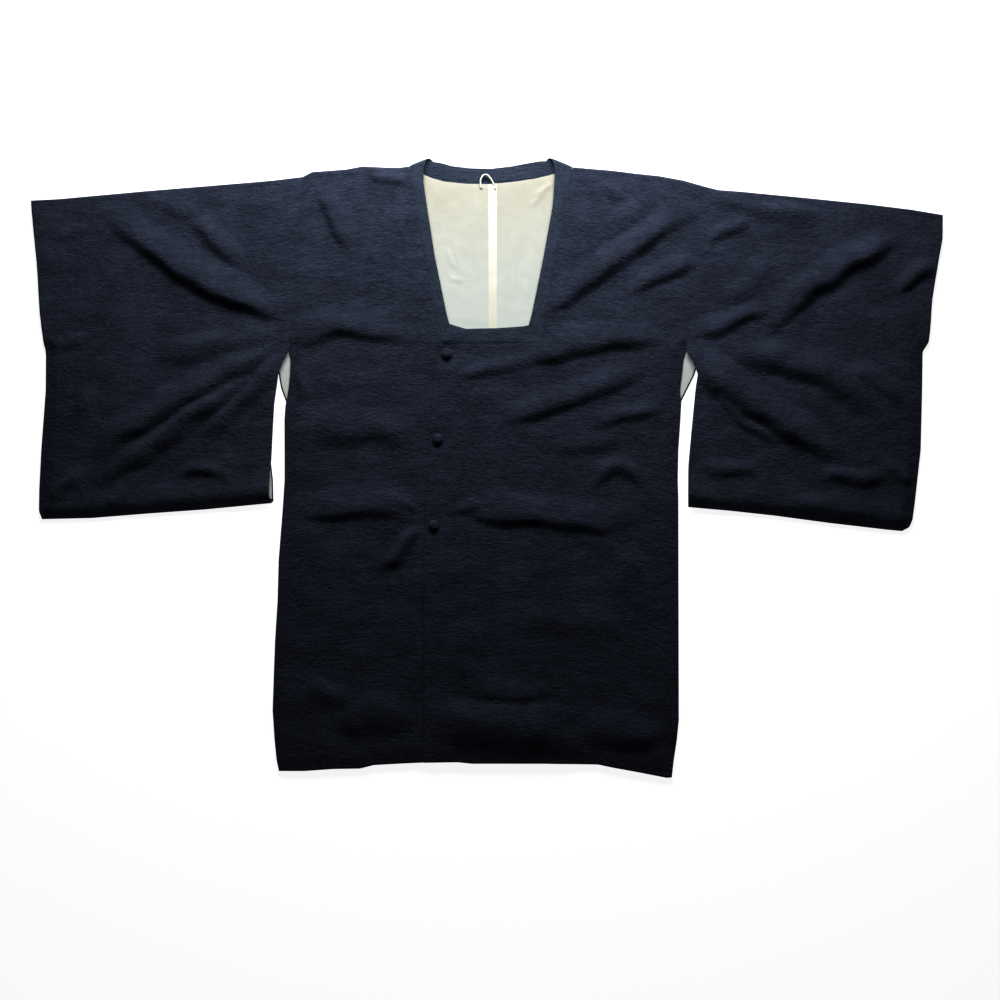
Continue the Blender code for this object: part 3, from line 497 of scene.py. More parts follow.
class CoatSizes(bpy.types.PropertyGroup):
    """Sizes that change how the cloth looks."""

    step: bpy.props.FloatProperty(
        name="Mesh step", description="Distance between the cloth's points", default=3.4 * MM, unit="LENGTH"
    )
    loft: bpy.props.FloatProperty(
        name="Loft",
        description="How far the upper layer stands off the lower one",
        default=1.8 * MM,
        unit="LENGTH",
    )
    ripple: bpy.props.FloatProperty(
        name="Ripple",
        description="Height of the soft unevenness between folds",
        default=1.6 * MM,
        unit="LENGTH",
    )
    rim: bpy.props.FloatProperty(
        name="Rim", description="How far a free edge is rounded", default=0.45 * MM, unit="LENGTH"
    )
    relief: bpy.props.FloatProperty(
        name="Folds", description="Strength of the folds", default=1.0, min=0.0, max=1.3, subtype="FACTOR"
    )
    seam_fold: bpy.props.FloatProperty(
        name="Lining seam fold",
        description="Width of the pressed seam fold",
        default=11.0 * MM,
        unit="LENGTH",
    )


class CoatColours(bpy.types.PropertyGroup):
    """Colours of the cloths."""

    crepe: bpy.props.FloatVectorProperty(
        name="Crepe", description="Navy of the crepe", default=(0.038, 0.046, 0.072), subtype="COLOR"
    )
    slub: bpy.props.FloatVectorProperty(
        name="Slub", description="Paler threads of the crepe", default=(0.088, 0.106, 0.165), subtype="COLOR"
    )
    collar: bpy.props.FloatVectorProperty(
        name="Collar", description="Navy of the collar", default=(0.046, 0.066, 0.094), subtype="COLOR"
    )
    lining: bpy.props.FloatVectorProperty(
        name="Lining", description="Pale lining silk", default=(0.80, 0.86, 0.835), subtype="COLOR"
    )
    # Painted shade with a little real yellowing: the lining is mixed towards this darker, yellower colour near
    # the neck
    lining_shade_and_yellowing: bpy.props.FloatVectorProperty(
        name="Lining, shaded and yellowed",
        description="Painted shade and slight yellowing of the lining near the neck",
        default=(0.50, 0.49, 0.42),
        subtype="COLOR",
    )
    floor: bpy.props.FloatVectorProperty(
        name="Floor", description="Pale floor", default=(0.60, 0.60, 0.60), subtype="COLOR"
    )


def mm(length):
    """A property's metres in millimetres."""
    return length / MM


def sizes():
    return bpy.context.scene.coat_sizes


def colours():
    return bpy.context.scene.coat_colours


def read_table(table, at):
    """The second column at a value of the first, straight between rows."""
    rows = sorted(table)
    return np.interp(at, [row[0] for row in rows], [row[1] for row in rows])


def line_x(line, y):
    """x on a straight seam at height y."""
    (x0, y0), (x1, y1) = line
    return x0 + (np.asarray(y, float) - y0) * (x1 - x0) / (y1 - y0)


def line_y(line, x):
    """y on a straight seam at x."""
    (x0, y0), (x1, y1) = line
    return y0 + (np.asarray(x, float) - x0) * (y1 - y0) / (x1 - x0)


def smooth(share):
    """0 to 1 with level ends."""
    t = np.clip(share, 0.0, 1.0)
    return t * t * (3 - 2 * t)


def mix(a, b, share):
    """a at share 0, b at share 1."""
    return a + (b - a) * share


def fold_height(x, y, fold):
    """How high one fold stands over each point."""
    start, middle, end = (np.array(p, float) for p in fold[:3])
    bend = 2 * middle - (start + end) / 2
    t = np.linspace(0, 1, CREST_STEPS + 1)[:, None]
    crest = (1 - t) ** 2 * start + 2 * t * (1 - t) * bend + t**2 * end
    reach = max(fold.left, fold.right)
    height = np.zeros(x.shape)
    low, high = crest.min(axis=0) - reach, crest.max(axis=0) + reach
    near = (x > low[0]) & (x < high[0]) & (y > low[1]) & (y < high[1])
    if not near.any():
        return height
    px, py = x[near], y[near]
    nearest = np.full(px.shape, np.inf)
    found = np.zeros(px.shape)
    for k in range(CREST_STEPS):
        step = crest[k + 1] - crest[k]
        away_x, away_y = px - crest[k][0], py - crest[k][1]
        share = np.clip((away_x * step[0] + away_y * step[1]) / (step @ step), 0, 1)
        off_x, off_y = away_x - share * step[0], away_y - share * step[1]
        distance = np.hypot(off_x, off_y)
        left = step[0] * off_y - step[1] * off_x > 0
        along = (k + share) / CREST_STEPS
        ends = smooth(along / FOLD_END) * smooth((1 - along) / FOLD_END)
        spread = np.where(left, fold.left, fold.right) * mix(0.7, 1.0, ends)
        here = fold.height * ends * (1 - np.minimum(distance / spread, 1) ** 2) ** 2
        closer = distance < nearest
        found = np.where(closer, here, found)
        nearest = np.where(closer, distance, nearest)
    height[near] = found
    return height


def folds_lift(x, y):
    """The lift of all the folds together, level under each button."""
    x, y = np.asarray(x, float), np.asarray(y, float)
    total = np.zeros(x.shape)
    bent_x = x + FOLD_WANDER * field(x, y, WANDER_LENGTH, WANDER_LENGTH, 21.0)
    bent_y = y + FOLD_WANDER * field(x, y, WANDER_LENGTH, WANDER_LENGTH, 33.0)
    for fold in FOLDS:
        total = total + fold_height(bent_x, bent_y, fold) ** 3
    lift = np.cbrt(total) * sizes().relief
    for centre_x, centre_y in BUTTON_CENTRES:
        away = np.hypot(x - centre_x, y - centre_y)
        lift = lift * smooth((away - BUTTON_RADIUS) / BUTTON_REST)
    return lift


def field(x, y, length_x, length_y, layer):
    """Smooth noise from -1 to 1 with bumps of about these lengths."""
    values = [noise.noise((px / length_x, py / length_y, layer)) for px, py in zip(np.ravel(x), np.ravel(y))]
    return np.reshape(values, np.shape(x))


def unevenness(x, y):
    """Broad, middling and small bumps together, about 0.6 high and never below 0."""
    broad, middling = field(x, y, 60, 34, 3.1), field(x, y, 27, 15, 8.7)
    total = 0.6 + 0.7 * broad + 0.4 * middling + 0.16 * field(x, y, 13, 9, 5.3)
    return np.maximum(total, 0)


def ripples(x, y):
    """The unevenness between the folds, in millimetres."""
    return unevenness(x, y) * mm(sizes().ripple)


def relief(x, y):
    """Everything that lifts the upper layer off its level base."""
    rest = 1.0
    for centre_x, centre_y in BUTTON_CENTRES:
        rest = rest * smooth((np.hypot(x - centre_x, y - centre_y) - BUTTON_RADIUS) / BUTTON_REST)
    return folds_lift(x, y) + (mm(sizes().loft) + ripples(x, y)) * mix(0.35, 1.0, rest)


def rimmed(width, rim):
    """Shares of a width in even steps, with one more close to each end that has a rim."""
    shares = np.linspace(0, 1, max(2, round(width / mm(sizes().step))) + 1)
    close = mm(sizes().rim) * 1.6 / width
    extra = [close] * (rim in ("start", "both")) + [1 - close] * (rim in ("end", "both"))
    return np.unique(np.concatenate([shares, extra]))


class Grid:
    """The rows and columns of one length of cloth, as shares of its widths and heights."""

    def __init__(self, columns, back, front, neck_cells=None, turn=8):
        self.columns = columns
        self.back = back
        self.front = front
        self.neck_cells = neck_cells
        self.turn = turn

    @property
    def counts(self):
        return len(self.columns) - 1, len(self.back) - 1 + self.turn + len(self.front) - 1


def folded_length(name, grid, plan, hole, material):
    """One wall of cloth from its back lower edge, over the shoulder, to its front lower edge.

    plan has front(u, v) and back(u, v), which give x and y, top(u), the y of its shoulder fold,
    level(x, y, u), the height of the front's underside, and rim(u, v, y, on_front), 1 at the free edges.
    """
    columns, rows = grid.counts
    bm = bmesh.new()
    bmesh.ops.create_grid(bm, x_segments=columns, y_segments=rows, size=0.5)
    back_rows = len(grid.back) - 1
    gone = []
    for face in bm.faces:
        middle = face.calc_center_median()
        column, row = (middle.x + 0.5) * columns, (middle.y + 0.5) * rows
        if hole(column, row, back_rows):
            gone.append(face)
    if gone:
        bmesh.ops.delete(bm, geom=gone, context="FACES")
    made = bmesh.ops.extrude_face_region(bm, geom=bm.faces[:])
    outer = {v for v in made["geom"] if isinstance(v, bmesh.types.BMVert)}

    cells = np.array([(v.co.x, v.co.y) for v in bm.verts])
    is_outer = np.array([v in outer for v in bm.verts])
    column = np.round((cells[:, 0] + 0.5) * columns).astype(int)
    turn = np.round((cells[:, 1] + 0.5) * rows).astype(int) - back_rows
    on_back, on_front = turn <= 0, turn >= grid.turn
    u = grid.columns[column]
    back_v = grid.back[np.clip(-turn, 0, back_rows)]
    front_v = grid.front[np.clip(turn - grid.turn, 0, len(grid.front) - 1)]
    angle = np.radians(mix(-90, 90, np.clip(turn / grid.turn, 0, 1)))

    fx, fy = plan.front(u, front_v)
    bx, by = plan.back(u, back_v)
    top_x, top_y = plan.front(u, np.zeros(u.shape))
    bulge = (plan.level(top_x, top_y, u) + WALL) / 2
    half_hollow = bulge - WALL
    fold_y = top_y - bulge
    under = plan.level(fx, fy, u)
    own_v, own_y = np.where(on_front, front_v, back_v), np.where(on_front, fy, by)
    rim = mm(sizes().rim) * plan.rim(u, own_v, own_y, on_front)
    over = under + WALL - rim
    under = under + rim
    front_y = fy - bulge * (1 - smooth((top_y - fy) / TURN_EASE))
    back_y = by - bulge * (1 - np.clip((top_y - by) / SHOULDER_TURN, 0, 1))
    arc = np.where(is_outer, bulge, half_hollow)
    x = np.where(turn < 0, bx, fx)
    y = np.where(on_front, front_y, fold_y + arc * np.cos(angle))
    y = np.where(turn < 0, back_y, y)
    z = np.where(is_outer, bulge, WALL + half_hollow) + arc * np.sin(angle)
    z = np.where(on_back, np.where(is_outer, 0.0, WALL - rim), z)
    z = np.where(on_front, np.where(is_outer, over, under), z)
    for v, place in zip(bm.verts, np.stack([x, y, z], axis=1) * MM):
        v.co = place
    along = np.where(turn <= 0, by - fold_y, fold_y - fy + np.pi * bulge)
    return finish_mesh(name, bm, material, cloth_uv=np.stack([x, along], axis=1) * MM)


def finish_mesh(name, bm, material, cloth_uv=None):
    """Turns a bmesh into a named object, its faces pointing out, with the cloth's coordinates as UVs."""
    bmesh.ops.recalc_face_normals(bm, faces=bm.faces[:])
    if bm.calc_volume(signed=True) < 0:
        bmesh.ops.reverse_faces(bm, faces=bm.faces[:])
    mesh = bpy.data.meshes.new(name)
    bm.to_mesh(mesh)
    bm.free()
    mesh.shade_smooth()
    mesh.set_sharp_from_angle(angle=math.radians(55))
    if cloth_uv is None:
        places = np.zeros(len(mesh.vertices) * 3)
        mesh.vertices.foreach_get("co", places)
        cloth_uv = places.reshape(-1, 3)[:, :2]
    corner = np.zeros(len(mesh.loops), int)
    mesh.loops.foreach_get("vertex_index", corner)
    layer = mesh.uv_layers.new(name="cloth")
    layer.data.foreach_set("uv", cloth_uv[corner].ravel())
    piece = bpy.data.objects.new(name, mesh)
    bpy.context.scene.collection.objects.link(piece)
    mesh.materials.append(material)
    return piece


def body_lined(y):
    """1 where the body's fronts lie on the lining, 0 below it."""
    return smooth((y - LINING_FOOT_Y + LINED_FADE) / (LINED_FADE - LINING_WALL))


def body_base(y):
    """Height that the lower front rests at."""
    return mix(BARE_BASE, LINED_BASE, body_lined(y))


def lap_rise(x, y):
    """Extra height of the left front where it lies on the right one."""
    edge = read_table(UNDER_EDGE, y)
    return OVERLAP_STEP * (1 - smooth((x - edge - GAP) / LINED_FADE))


def shoulder_factor(y, shoulder):
    """Folds settle towards the shoulder fold."""
    return mix(SHOULDER_KEEP, 1.0, smooth((shoulder - y) / SHOULDER_FADE))


def body_open(x, y):
    """1 in the open cloth of the fronts, 0 along their side seams and at the hem."""
    right = np.abs(x - read_table(FRONT_SIDE_RIGHT, y))
    left = np.abs(x - read_table(FRONT_SIDE_LEFT, y))
    side = np.maximum(smooth(np.minimum(right, left) / SEWN_FADE), smooth((y - ARMPIT_Y) / SEWN_FADE))
    hem = mix(0.35, 1.0, smooth((y - read_table(HEM, x)) / SEWN_FADE))
    return side * hem


class BodySide:
    """One side of the body. Columns run from the side seam to the neck, then over the lap to its edge."""

    LAP = 0.5
    NECK = 0.3
    KNOTS = 6
    BACK_ROWS = (2, 12, 3, 2, 10, 12)

    def __init__(
        self, sign, shoulder, collar_seam, side, front_arm, back_arm, back_slit, neck_side, edge, other_edge
    ):
        self.sign = sign
        self.shoulder = shoulder
        self.collar_seam = collar_seam
        self.side = side
        self.front_arm = front_arm
        self.back_arm = back_arm
        self.back_slit = back_slit
        self.neck_side = neck_side
        self.edge = edge
        self.other_edge = other_edge

    def side_x(self, y):
        below = read_table(self.side, y)
        above = line_x(self.front_arm, y)
        return np.where(y > ARMPIT_Y, above, below) - self.sign * SEAM_GAP

    def back_side_x(self, y):
        top = self.back_slit[-1][0]
        x = np.where(y > top, line_x(self.back_arm, y), read_table(self.back_slit, y))
        return np.where(y < SIDE_SEAM_TOP_Y, read_table(self.side, y), x) - self.sign * (SEAM_GAP + BACK_EASE)

    def neck_x(self, y):
        """The column at the neck: on the collar's seam, and straight on down to the lap below it."""
        seam = line_x(self.collar_seam, y) + self.sign * SEAM_GAP
        return np.where(y >= self.collar_seam[1][1], seam, read_table(self.other_edge, y))

    def shoulder_end(self, inner):
        xs = sorted((row[0] for row in self.shoulder), key=lambda x: x * self.sign)
        return xs[0] if inner else xs[-1]

    def top(self, u):
        """y of the shoulder fold at each column."""
        top_x = mix(self.shoulder_end(0), self.shoulder_end(1), np.minimum(u / self.LAP, 1))
        return read_table(self.shoulder, top_x)

    def across(self, u, side, neck, edge):
        main = mix(side, neck, u / self.LAP)
        lap = mix(neck, edge, (u - self.LAP) / (1 - self.LAP))
        return np.where(u <= self.LAP, main, lap)

    def front(self, u, v):
        at = NECK_SEAM[0][1]
        seam_x = self.across(u, self.side_x(at), self.neck_x(at), read_table(self.edge, at))
        neck = line_y(NECK_SEAM, seam_x) - SEAM_GAP
        side_foot, edge_foot = read_table(self.side, HEM_LEVEL), read_table(self.edge, HEM_LEVEL)
        foot = self.across(u, side_foot, self.neck_x(HEM_LEVEL), edge_foot)
        hem = read_table(HEM, foot)
        lower = mix(neck, hem, (v - self.NECK) / (1 - self.NECK))
        y = np.where(v <= self.NECK, mix(self.top(u), neck, v / self.NECK), lower)
        x = self.across(u, self.side_x(y), self.neck_x(y), read_table(self.edge, y))
        hidden = smooth((v - 0.9) / 0.1) * (u > self.LAP) if self.sign < 0 else 0.0
        return x, y + UNDER_HEM_INSET * hidden

    def back(self, u, v):
        """Between these heights the rows are even: shoulder, neck, three at the slit, half way down, hem."""
        centre = CENTRE_X + self.sign * SEAM_GAP
        side_foot, neck_foot = read_table(self.side, HEM_LEVEL), read_table(self.neck_side, HEM_LEVEL)
        foot_x = self.across(u, side_foot, neck_foot, centre)
        hem = read_table(HEM, foot_x) + BACK_HEM_INSET
        neck_x = self.across(u, self.shoulder_end(0), read_table(self.neck_side, BACK_NECK[0][1]), centre)
        neck = np.minimum(read_table(BACK_NECK, neck_x), self.top(u) - SHOULDER_TURN)
        slit = [y for y, _ in self.back_slit]
        heights = [self.top(u), neck, slit[2], slit[1], slit[0], (slit[0] + HEM_LEVEL) / 2, hem]
        knot = np.clip(np.floor(v * self.KNOTS).astype(int), 0, self.KNOTS - 1)
        stack = np.array([np.broadcast_to(h, v.shape) for h in heights])
        columns = np.arange(v.size)
        y = mix(stack[knot, columns], stack[knot + 1, columns], v * self.KNOTS - knot)
        to_neck = np.clip(v * self.KNOTS, 0, 1)
        neck_side = mix(self.shoulder_end(1), read_table(self.neck_side, y), to_neck)
        return self.across(u, self.back_side_x(y), neck_side, centre), y

    def level(self, x, y, u):
        rise = lap_rise(x, y) if self.sign > 0 else 0.0
        lift = relief(x, y) * body_open(x, y) * shoulder_factor(y, self.top(u))
        return body_base(y) + rise + lift - arm_seam_dip(x, y)

    def rim(self, u, v, y, on_front):
        """1 at the free edges: side below the armpit, front edge, hem."""
        side = (u == 0) & (y < ARMPIT_Y)
        return side | (v == 1) | (on_front & (u == 1))

    def grid(self):
        """Shares of the columns and rows, with a narrow one inside each free edge."""
        side, lap = rimmed(187, "start"), rimmed(178, "both")
        columns = np.concatenate([side * self.LAP, self.LAP + lap[1:] * (1 - self.LAP)])
        neck, skirt = rimmed(252, ""), rimmed(600, "end")
        front = np.concatenate([neck * self.NECK, self.NECK + skirt[1:] * (1 - self.NECK)])
        back = []
        for knot, count in enumerate(self.BACK_ROWS):
            back.append((knot + np.arange(count) / count) / self.KNOTS)
        back = np.concatenate(back + [[1 - 0.0007, 1.0]])
        return Grid(columns, back, front, neck_cells=(len(side) - 1, 2, len(neck) - 1))


def arm_seam_dip(x, y):
    """The furrow of the two armhole seams."""
    dip = np.zeros(np.shape(x))
    for line in (FRONT_ARM_SEAM_RIGHT, FRONT_ARM_SEAM_LEFT):
        away = np.abs(x - line_x(line, y))
        dip = dip + ARM_SEAM_DIP * np.exp(-((away / ARM_SEAM_REACH) ** 2)) * (y > ARMPIT_Y)
    return dip


def edge_point(edge, share):
    """x and y at a share of the length of an edge given by its points."""
    points = np.array(edge, float)
    lengths = np.hypot(*np.diff(points, axis=0).T)
    at = np.concatenate([[0], np.cumsum(lengths)]) / lengths.sum()
    return np.interp(share, at, points[:, 0]), np.interp(share, at, points[:, 1])


def foot_roll(away):
    """The soft roll along a sleeve's foot seam, by the distance from the seam."""
    fall = 1 - smooth((away - FOOT_ROLL_CREST) / FOOT_ROLL_FALL)
    return FOOT_ROLL * smooth(away / FOOT_ROLL_CREST) * fall


class Sleeve:
    """One sleeve. Columns run from the cuff to the body."""

    BACK_ROWS = (14, 4, 5, 3, 3)

    def __init__(self, sign, top_edge, cuff, foot, inner, back_inner):
        self.sign = sign
        self.top_edge = top_edge
        self.cuff = cuff
        self.foot = foot
        self.inner = inner
        self.back_inner = back_inner

    def patch(self, u, v, inner):
        """A point inside the four edges: u from cuff to body, v from the top fold to the foot."""
        top = np.array(edge_point(self.top_edge, u))
        foot = np.array(edge_point(self.foot[:-1] + (inner[-1],), u))
        cuff = np.array(edge_point(self.cuff, v))
        body = np.array(edge_point(inner, v))
        ends = (self.top_edge[0], self.top_edge[-1], self.foot[0], inner[-1])
        corners = [np.array(p, float)[:, None] for p in ends]
        upper = mix(corners[0], corners[1], u)
        lower = mix(corners[2], corners[3], u)
        place = mix(top, foot, v) + mix(cuff, body, u) - mix(upper, lower, v)
        return place[0] + self.sign * SEAM_GAP * u, place[1]

    def top(self, u):
        return edge_point(self.top_edge, u)[1]

    def front(self, u, v):
        return self.patch(u, v, self.inner)

    def back(self, u, v):
        """The back's rows are even between the corners of its inner edge."""
        corners = np.array(self.back_inner)
        reach = np.concatenate([[0], np.cumsum(np.hypot(*np.diff(corners, axis=0).T))])
        at = np.interp(v * (len(corners) - 1), range(len(corners)), reach / reach[-1])
        return self.patch(u, at, self.back_inner)

    def level(self, x, y, u):
        inner_x = np.interp(y, *sorted_edge(self.inner))
        lined = 1 - smooth((np.abs(x - inner_x) - LINED_FADE) / LINED_FADE)
        foot_y = edge_point(self.foot, u)[1]
        cuff_x = np.interp(y, *sorted_edge(self.cuff))
        foot = smooth((y - foot_y) / SEWN_FADE)
        cuff = np.maximum(smooth(np.abs(x - cuff_x) / SEWN_FADE), smooth((y - ARMPIT_Y) / SEWN_FADE))
        lift = relief(x, y) * foot * cuff * shoulder_factor(y, self.top(u)) + foot_roll(y - foot_y) * cuff
        return mix(BARE_BASE, LINED_BASE, lined) + lift - arm_seam_dip(x, y)

    def rim(self, u, v, y, on_front):
        """1 at the free edges: cuff, foot, inner edge below the armpit."""
        return (u == 0) | (v == 1) | ((u == 1) & (y < ARMPIT_Y))

    def grid(self):
        back = []
        for knot, count in enumerate(self.BACK_ROWS):
            back.append((knot + np.arange(count) / count) / len(self.BACK_ROWS))
        back = np.concatenate(back + [[1 - 0.002, 1.0]])
        return Grid(rimmed(350, "both"), back, rimmed(455, "end"))


def sorted_edge(edge):
    """An edge's y and x, from its lowest point up."""
    rows = sorted((y, x) for x, y in edge)
    return [row[0] for row in rows], [row[1] for row in rows]


BODY_RIGHT = BodySide(
    -1,
    SHOULDER_RIGHT,
    COLLAR_SEAM_RIGHT,
    FRONT_SIDE_RIGHT,
    FRONT_ARM_SEAM_RIGHT,
    BACK_ARM_SEAM_RIGHT,
    BACK_SLIT_RIGHT,
    BACK_NECK_SIDE_RIGHT,
    UNDER_EDGE,
    OVER_EDGE,
)
BODY_LEFT = BodySide(
    1,
    SHOULDER_LEFT,
    COLLAR_SEAM_LEFT,
    FRONT_SIDE_LEFT,
    FRONT_ARM_SEAM_LEFT,
    BACK_ARM_SEAM_LEFT,
    BACK_SLIT_LEFT,
    BACK_NECK_SIDE_LEFT,
    OVER_EDGE,
    UNDER_EDGE,
)
SLEEVE_RIGHT = Sleeve(
    -1, SLEEVE_TOP_RIGHT, SLEEVE_CUFF_RIGHT, SLEEVE_FOOT_RIGHT, SLEEVE_INNER_RIGHT, SLEEVE_BACK_INNER_RIGHT
)
SLEEVE_LEFT = Sleeve(
    1, SLEEVE_TOP_LEFT, SLEEVE_CUFF_LEFT, SLEEVE_FOOT_LEFT, SLEEVE_INNER_LEFT, SLEEVE_BACK_INNER_LEFT
)


def lining_lift(x, y, inner):
    """Height of the lining's wrinkles and of its pressed seam fold, 0 where the collar covers it."""
    total = np.zeros(np.shape(x))
    for fold in LINING_FOLDS:
        total = total + fold_height(x, y, fold) ** 2
    wrinkles = np.sqrt(total) + 0.25 * unevenness(x * 2.2, y * 1.4)
    width = mm(sizes().seam_fold)
    strip = smooth((x - LINING_FOLD_X + width + 2.0) / 2.5) * smooth((LINING_FOLD_X - x) / 1.5)
    return wrinkles * inner + 0.5 * strip


def lining_open(x, y):
    """1 in the open of the neck, 0 under the collar."""
    left = x - line_x(COLLAR_SEAM_RIGHT, y) - NECK_FLAT * 1.6
    right = line_x(COLLAR_SEAM_LEFT, y) - NECK_FLAT * 1.9 - x
    foot = y - 201.0
    top = read_table(BACK_NECK, x) - y
    inside = np.minimum(np.minimum(left, right), np.minimum(foot, top))
    return smooth(inside / NECK_FLAT)


def flat_sheet(name, columns, rows, plan, lift, material):
    """A level wall of lining, its outline given by a plan of column and row shares."""
    bm = bmesh.new()
    bmesh.ops.create_grid(bm, x_segments=columns, y_segments=rows, size=0.5)
    made = bmesh.ops.extrude_face_region(bm, geom=bm.faces[:])
    upper = {v for v in made["geom"] if isinstance(v, bmesh.types.BMVert)}
    shares = np.array([(v.co.x + 0.5, v.co.y + 0.5) for v in bm.verts])
    is_upper = np.array([v in upper for v in bm.verts])
    x, y = plan(shares[:, 0], shares[:, 1])
    edge = (np.abs(shares - 0.5) > 0.4999).any(axis=1)
    low = WALL + GAP + np.where(edge, 0.2, 0.0)
    high = LINING_TOP - np.where(edge, 0.2, 0.0)
    z = np.where(is_upper, high, low) + lift(x, y)
    for v, place in zip(bm.verts, np.stack([x, y, z], axis=1) * MM):
        v.co = place
    return finish_mesh(name, bm, material)


def build_back_lining(name, side):
    """The lining inside the back, from the neck to below the armholes."""
    seam = LINING_SEAM_X + side.sign * SEAM_GAP

    def plan(u, v):
        top_x = mix(side.shoulder_end(0) - side.sign * LINING_INSET, seam, u)
        shoulder = read_table(side.shoulder, top_x) - LINING_TOP_INSET
        neck = read_table(BACK_NECK, top_x) - LINING_NECK_INSET
        y = mix(LINING_FOOT_Y, np.minimum(shoulder, neck), v)
        return mix(side.back_side_x(y) - side.sign * LINING_INSET, seam, u), y

    def lift(x, y):
        return lining_lift(x, y, lining_open(x, y))

    return flat_sheet(name, *LINING_GRID, plan, lift, lining_material())


def build_sleeve_lining(name, sleeve):
    """The strip of lining that shows along a sleeve's open inner edge."""
    ys, xs = sorted_edge(sleeve.back_inner)

    def plan(u, v):
        y = mix(*SLEEVE_LINING_SPAN, v)
        outer = np.interp(y, ys, xs) + sleeve.sign * SLEEVE_LINING_INSET
        return outer + sleeve.sign * SLEEVE_LINING_WIDTH * u, y

    def lift(x, y):
        return np.zeros(x.shape)

    return flat_sheet(name, *SLEEVE_LINING_GRID, plan, lift, lining_material())


def collar_level(x, y, layer):
    """Height of the collar's underside where it lies on the front."""
    return LINED_BASE + COLLAR_STEP * layer + relief(x, y) * shoulder_factor(y, SHOULDER_RIGHT[-1][1])


def spread_rows(rows, step, keys=4):
    """Rows of numbers with more between them, at most a step apart in their first columns."""
    filled = []
    for here, after in zip(rows, rows[1:]):
        a, b = np.array(here, float), np.array(after, float)
        reach = max(np.hypot(*(b - a)[i : i + 2]) for i in range(0, keys, 2))
        turned = abs(b[4] - a[4]) / 11.25
        steps = max(1, math.ceil(max(reach / step, turned)))
        filled += [mix(a, b, k / steps) for k in range(steps)]
    return filled + [np.array(rows[-1], float)]


def back_neck_edge(side):
    """The back's neck edge on one side, from the shoulder to the centre."""
    share = np.linspace(side.LAP, 1, 25)
    x, y = side.back(share, np.full(share.shape, 1 / side.KNOTS))
    return list(zip(x, y))


def collar_sections():
    """The collar's sections from its hidden right end round to its left end."""
    neck = back_neck_edge(BODY_RIGHT) + back_neck_edge(BODY_LEFT)[::-1]
    back = []
    for x, y in neck:
        free_x = CENTRE_X + (x - CENTRE_X) * COLLAR_BACK_NARROWING
        back.append(CollarSection(x, y + SEAM_GAP, free_x, float(read_table(COLLAR_TOP, free_x)), 180, 0, 0))
    step = mm(sizes().step)
    right, left = spread_rows(COLLAR_TO_BACK, step), spread_rows(COLLAR_FROM_BACK, step)
    return np.array(right + [np.array(row, float) for row in back] + left)


def build_collar():
    """The frame collar: one band round the neck, mitred at its corners and turned over at the shoulders."""
    rows = collar_sections()
    turn = np.radians(rows[:, 4])
    half = COLLAR_WALL / 2
    last = len(rows) - 1
    bm = bmesh.new()
    bmesh.ops.create_grid(bm, x_segments=COLLAR_COLUMNS, y_segments=last, size=0.5)
    made = bmesh.ops.extrude_face_region(bm, geom=bm.faces[:])
    outer = {v for v in made["geom"] if isinstance(v, bmesh.types.BMVert)}
    at = np.array([round((v.co.y + 0.5) * last) for v in bm.verts])
    across = np.array([v.co.x + 0.5 for v in bm.verts])
    is_outer = np.array([v in outer for v in bm.verts])

    seam_xy, free_xy = rows[at, 0:2], rows[at, 2:4]
    width = np.hypot(*(free_xy - seam_xy).T)
    inward = (free_xy - seam_xy) / width[:, None]
    xy = mix(seam_xy + inward * SEAM_GAP, free_xy, across[:, None])
    front = collar_level(xy[:, 0], xy[:, 1], rows[at, 6]) + half + rows[at, 5] * across
    radius = (front - half) / 2
    middle_y = xy[:, 1] + radius * np.sin(turn[at])
    middle = np.column_stack([xy[:, 0], middle_y, half + radius * (1 + np.cos(turn[at]))])
    out = np.column_stack([np.zeros(len(at)), np.sin(turn[at]), np.cos(turn[at])])
    edge = np.minimum(across, 1 - across) < 0.01
    crown = COLLAR_CROWN * np.sin(np.pi * across) * is_outer
    thick = np.where(is_outer, half, -half) * np.where(edge, 0.45, 1.0) + crown
    places = middle + out * thick[:, None]
    for v, place in zip(bm.verts, places * MM):
        v.co = place
    reach = np.hypot(*np.diff((rows[:, 0:2] + rows[:, 2:4]) / 2, axis=0).T)
    along = np.concatenate([[0], np.cumsum(reach)])[at]
    material = crepe_material("collar crepe", colours().collar, 0.8)
    return finish_mesh("collar_cloth", bm, material, np.column_stack([along, across * width]) * MM)


def over_top(x, y):
    """Height of the left front's upper face."""
    x, y = np.array([x], float), np.array([y], float)
    return float((body_base(y) + lap_rise(x, y) + relief(x, y))[0]) + WALL


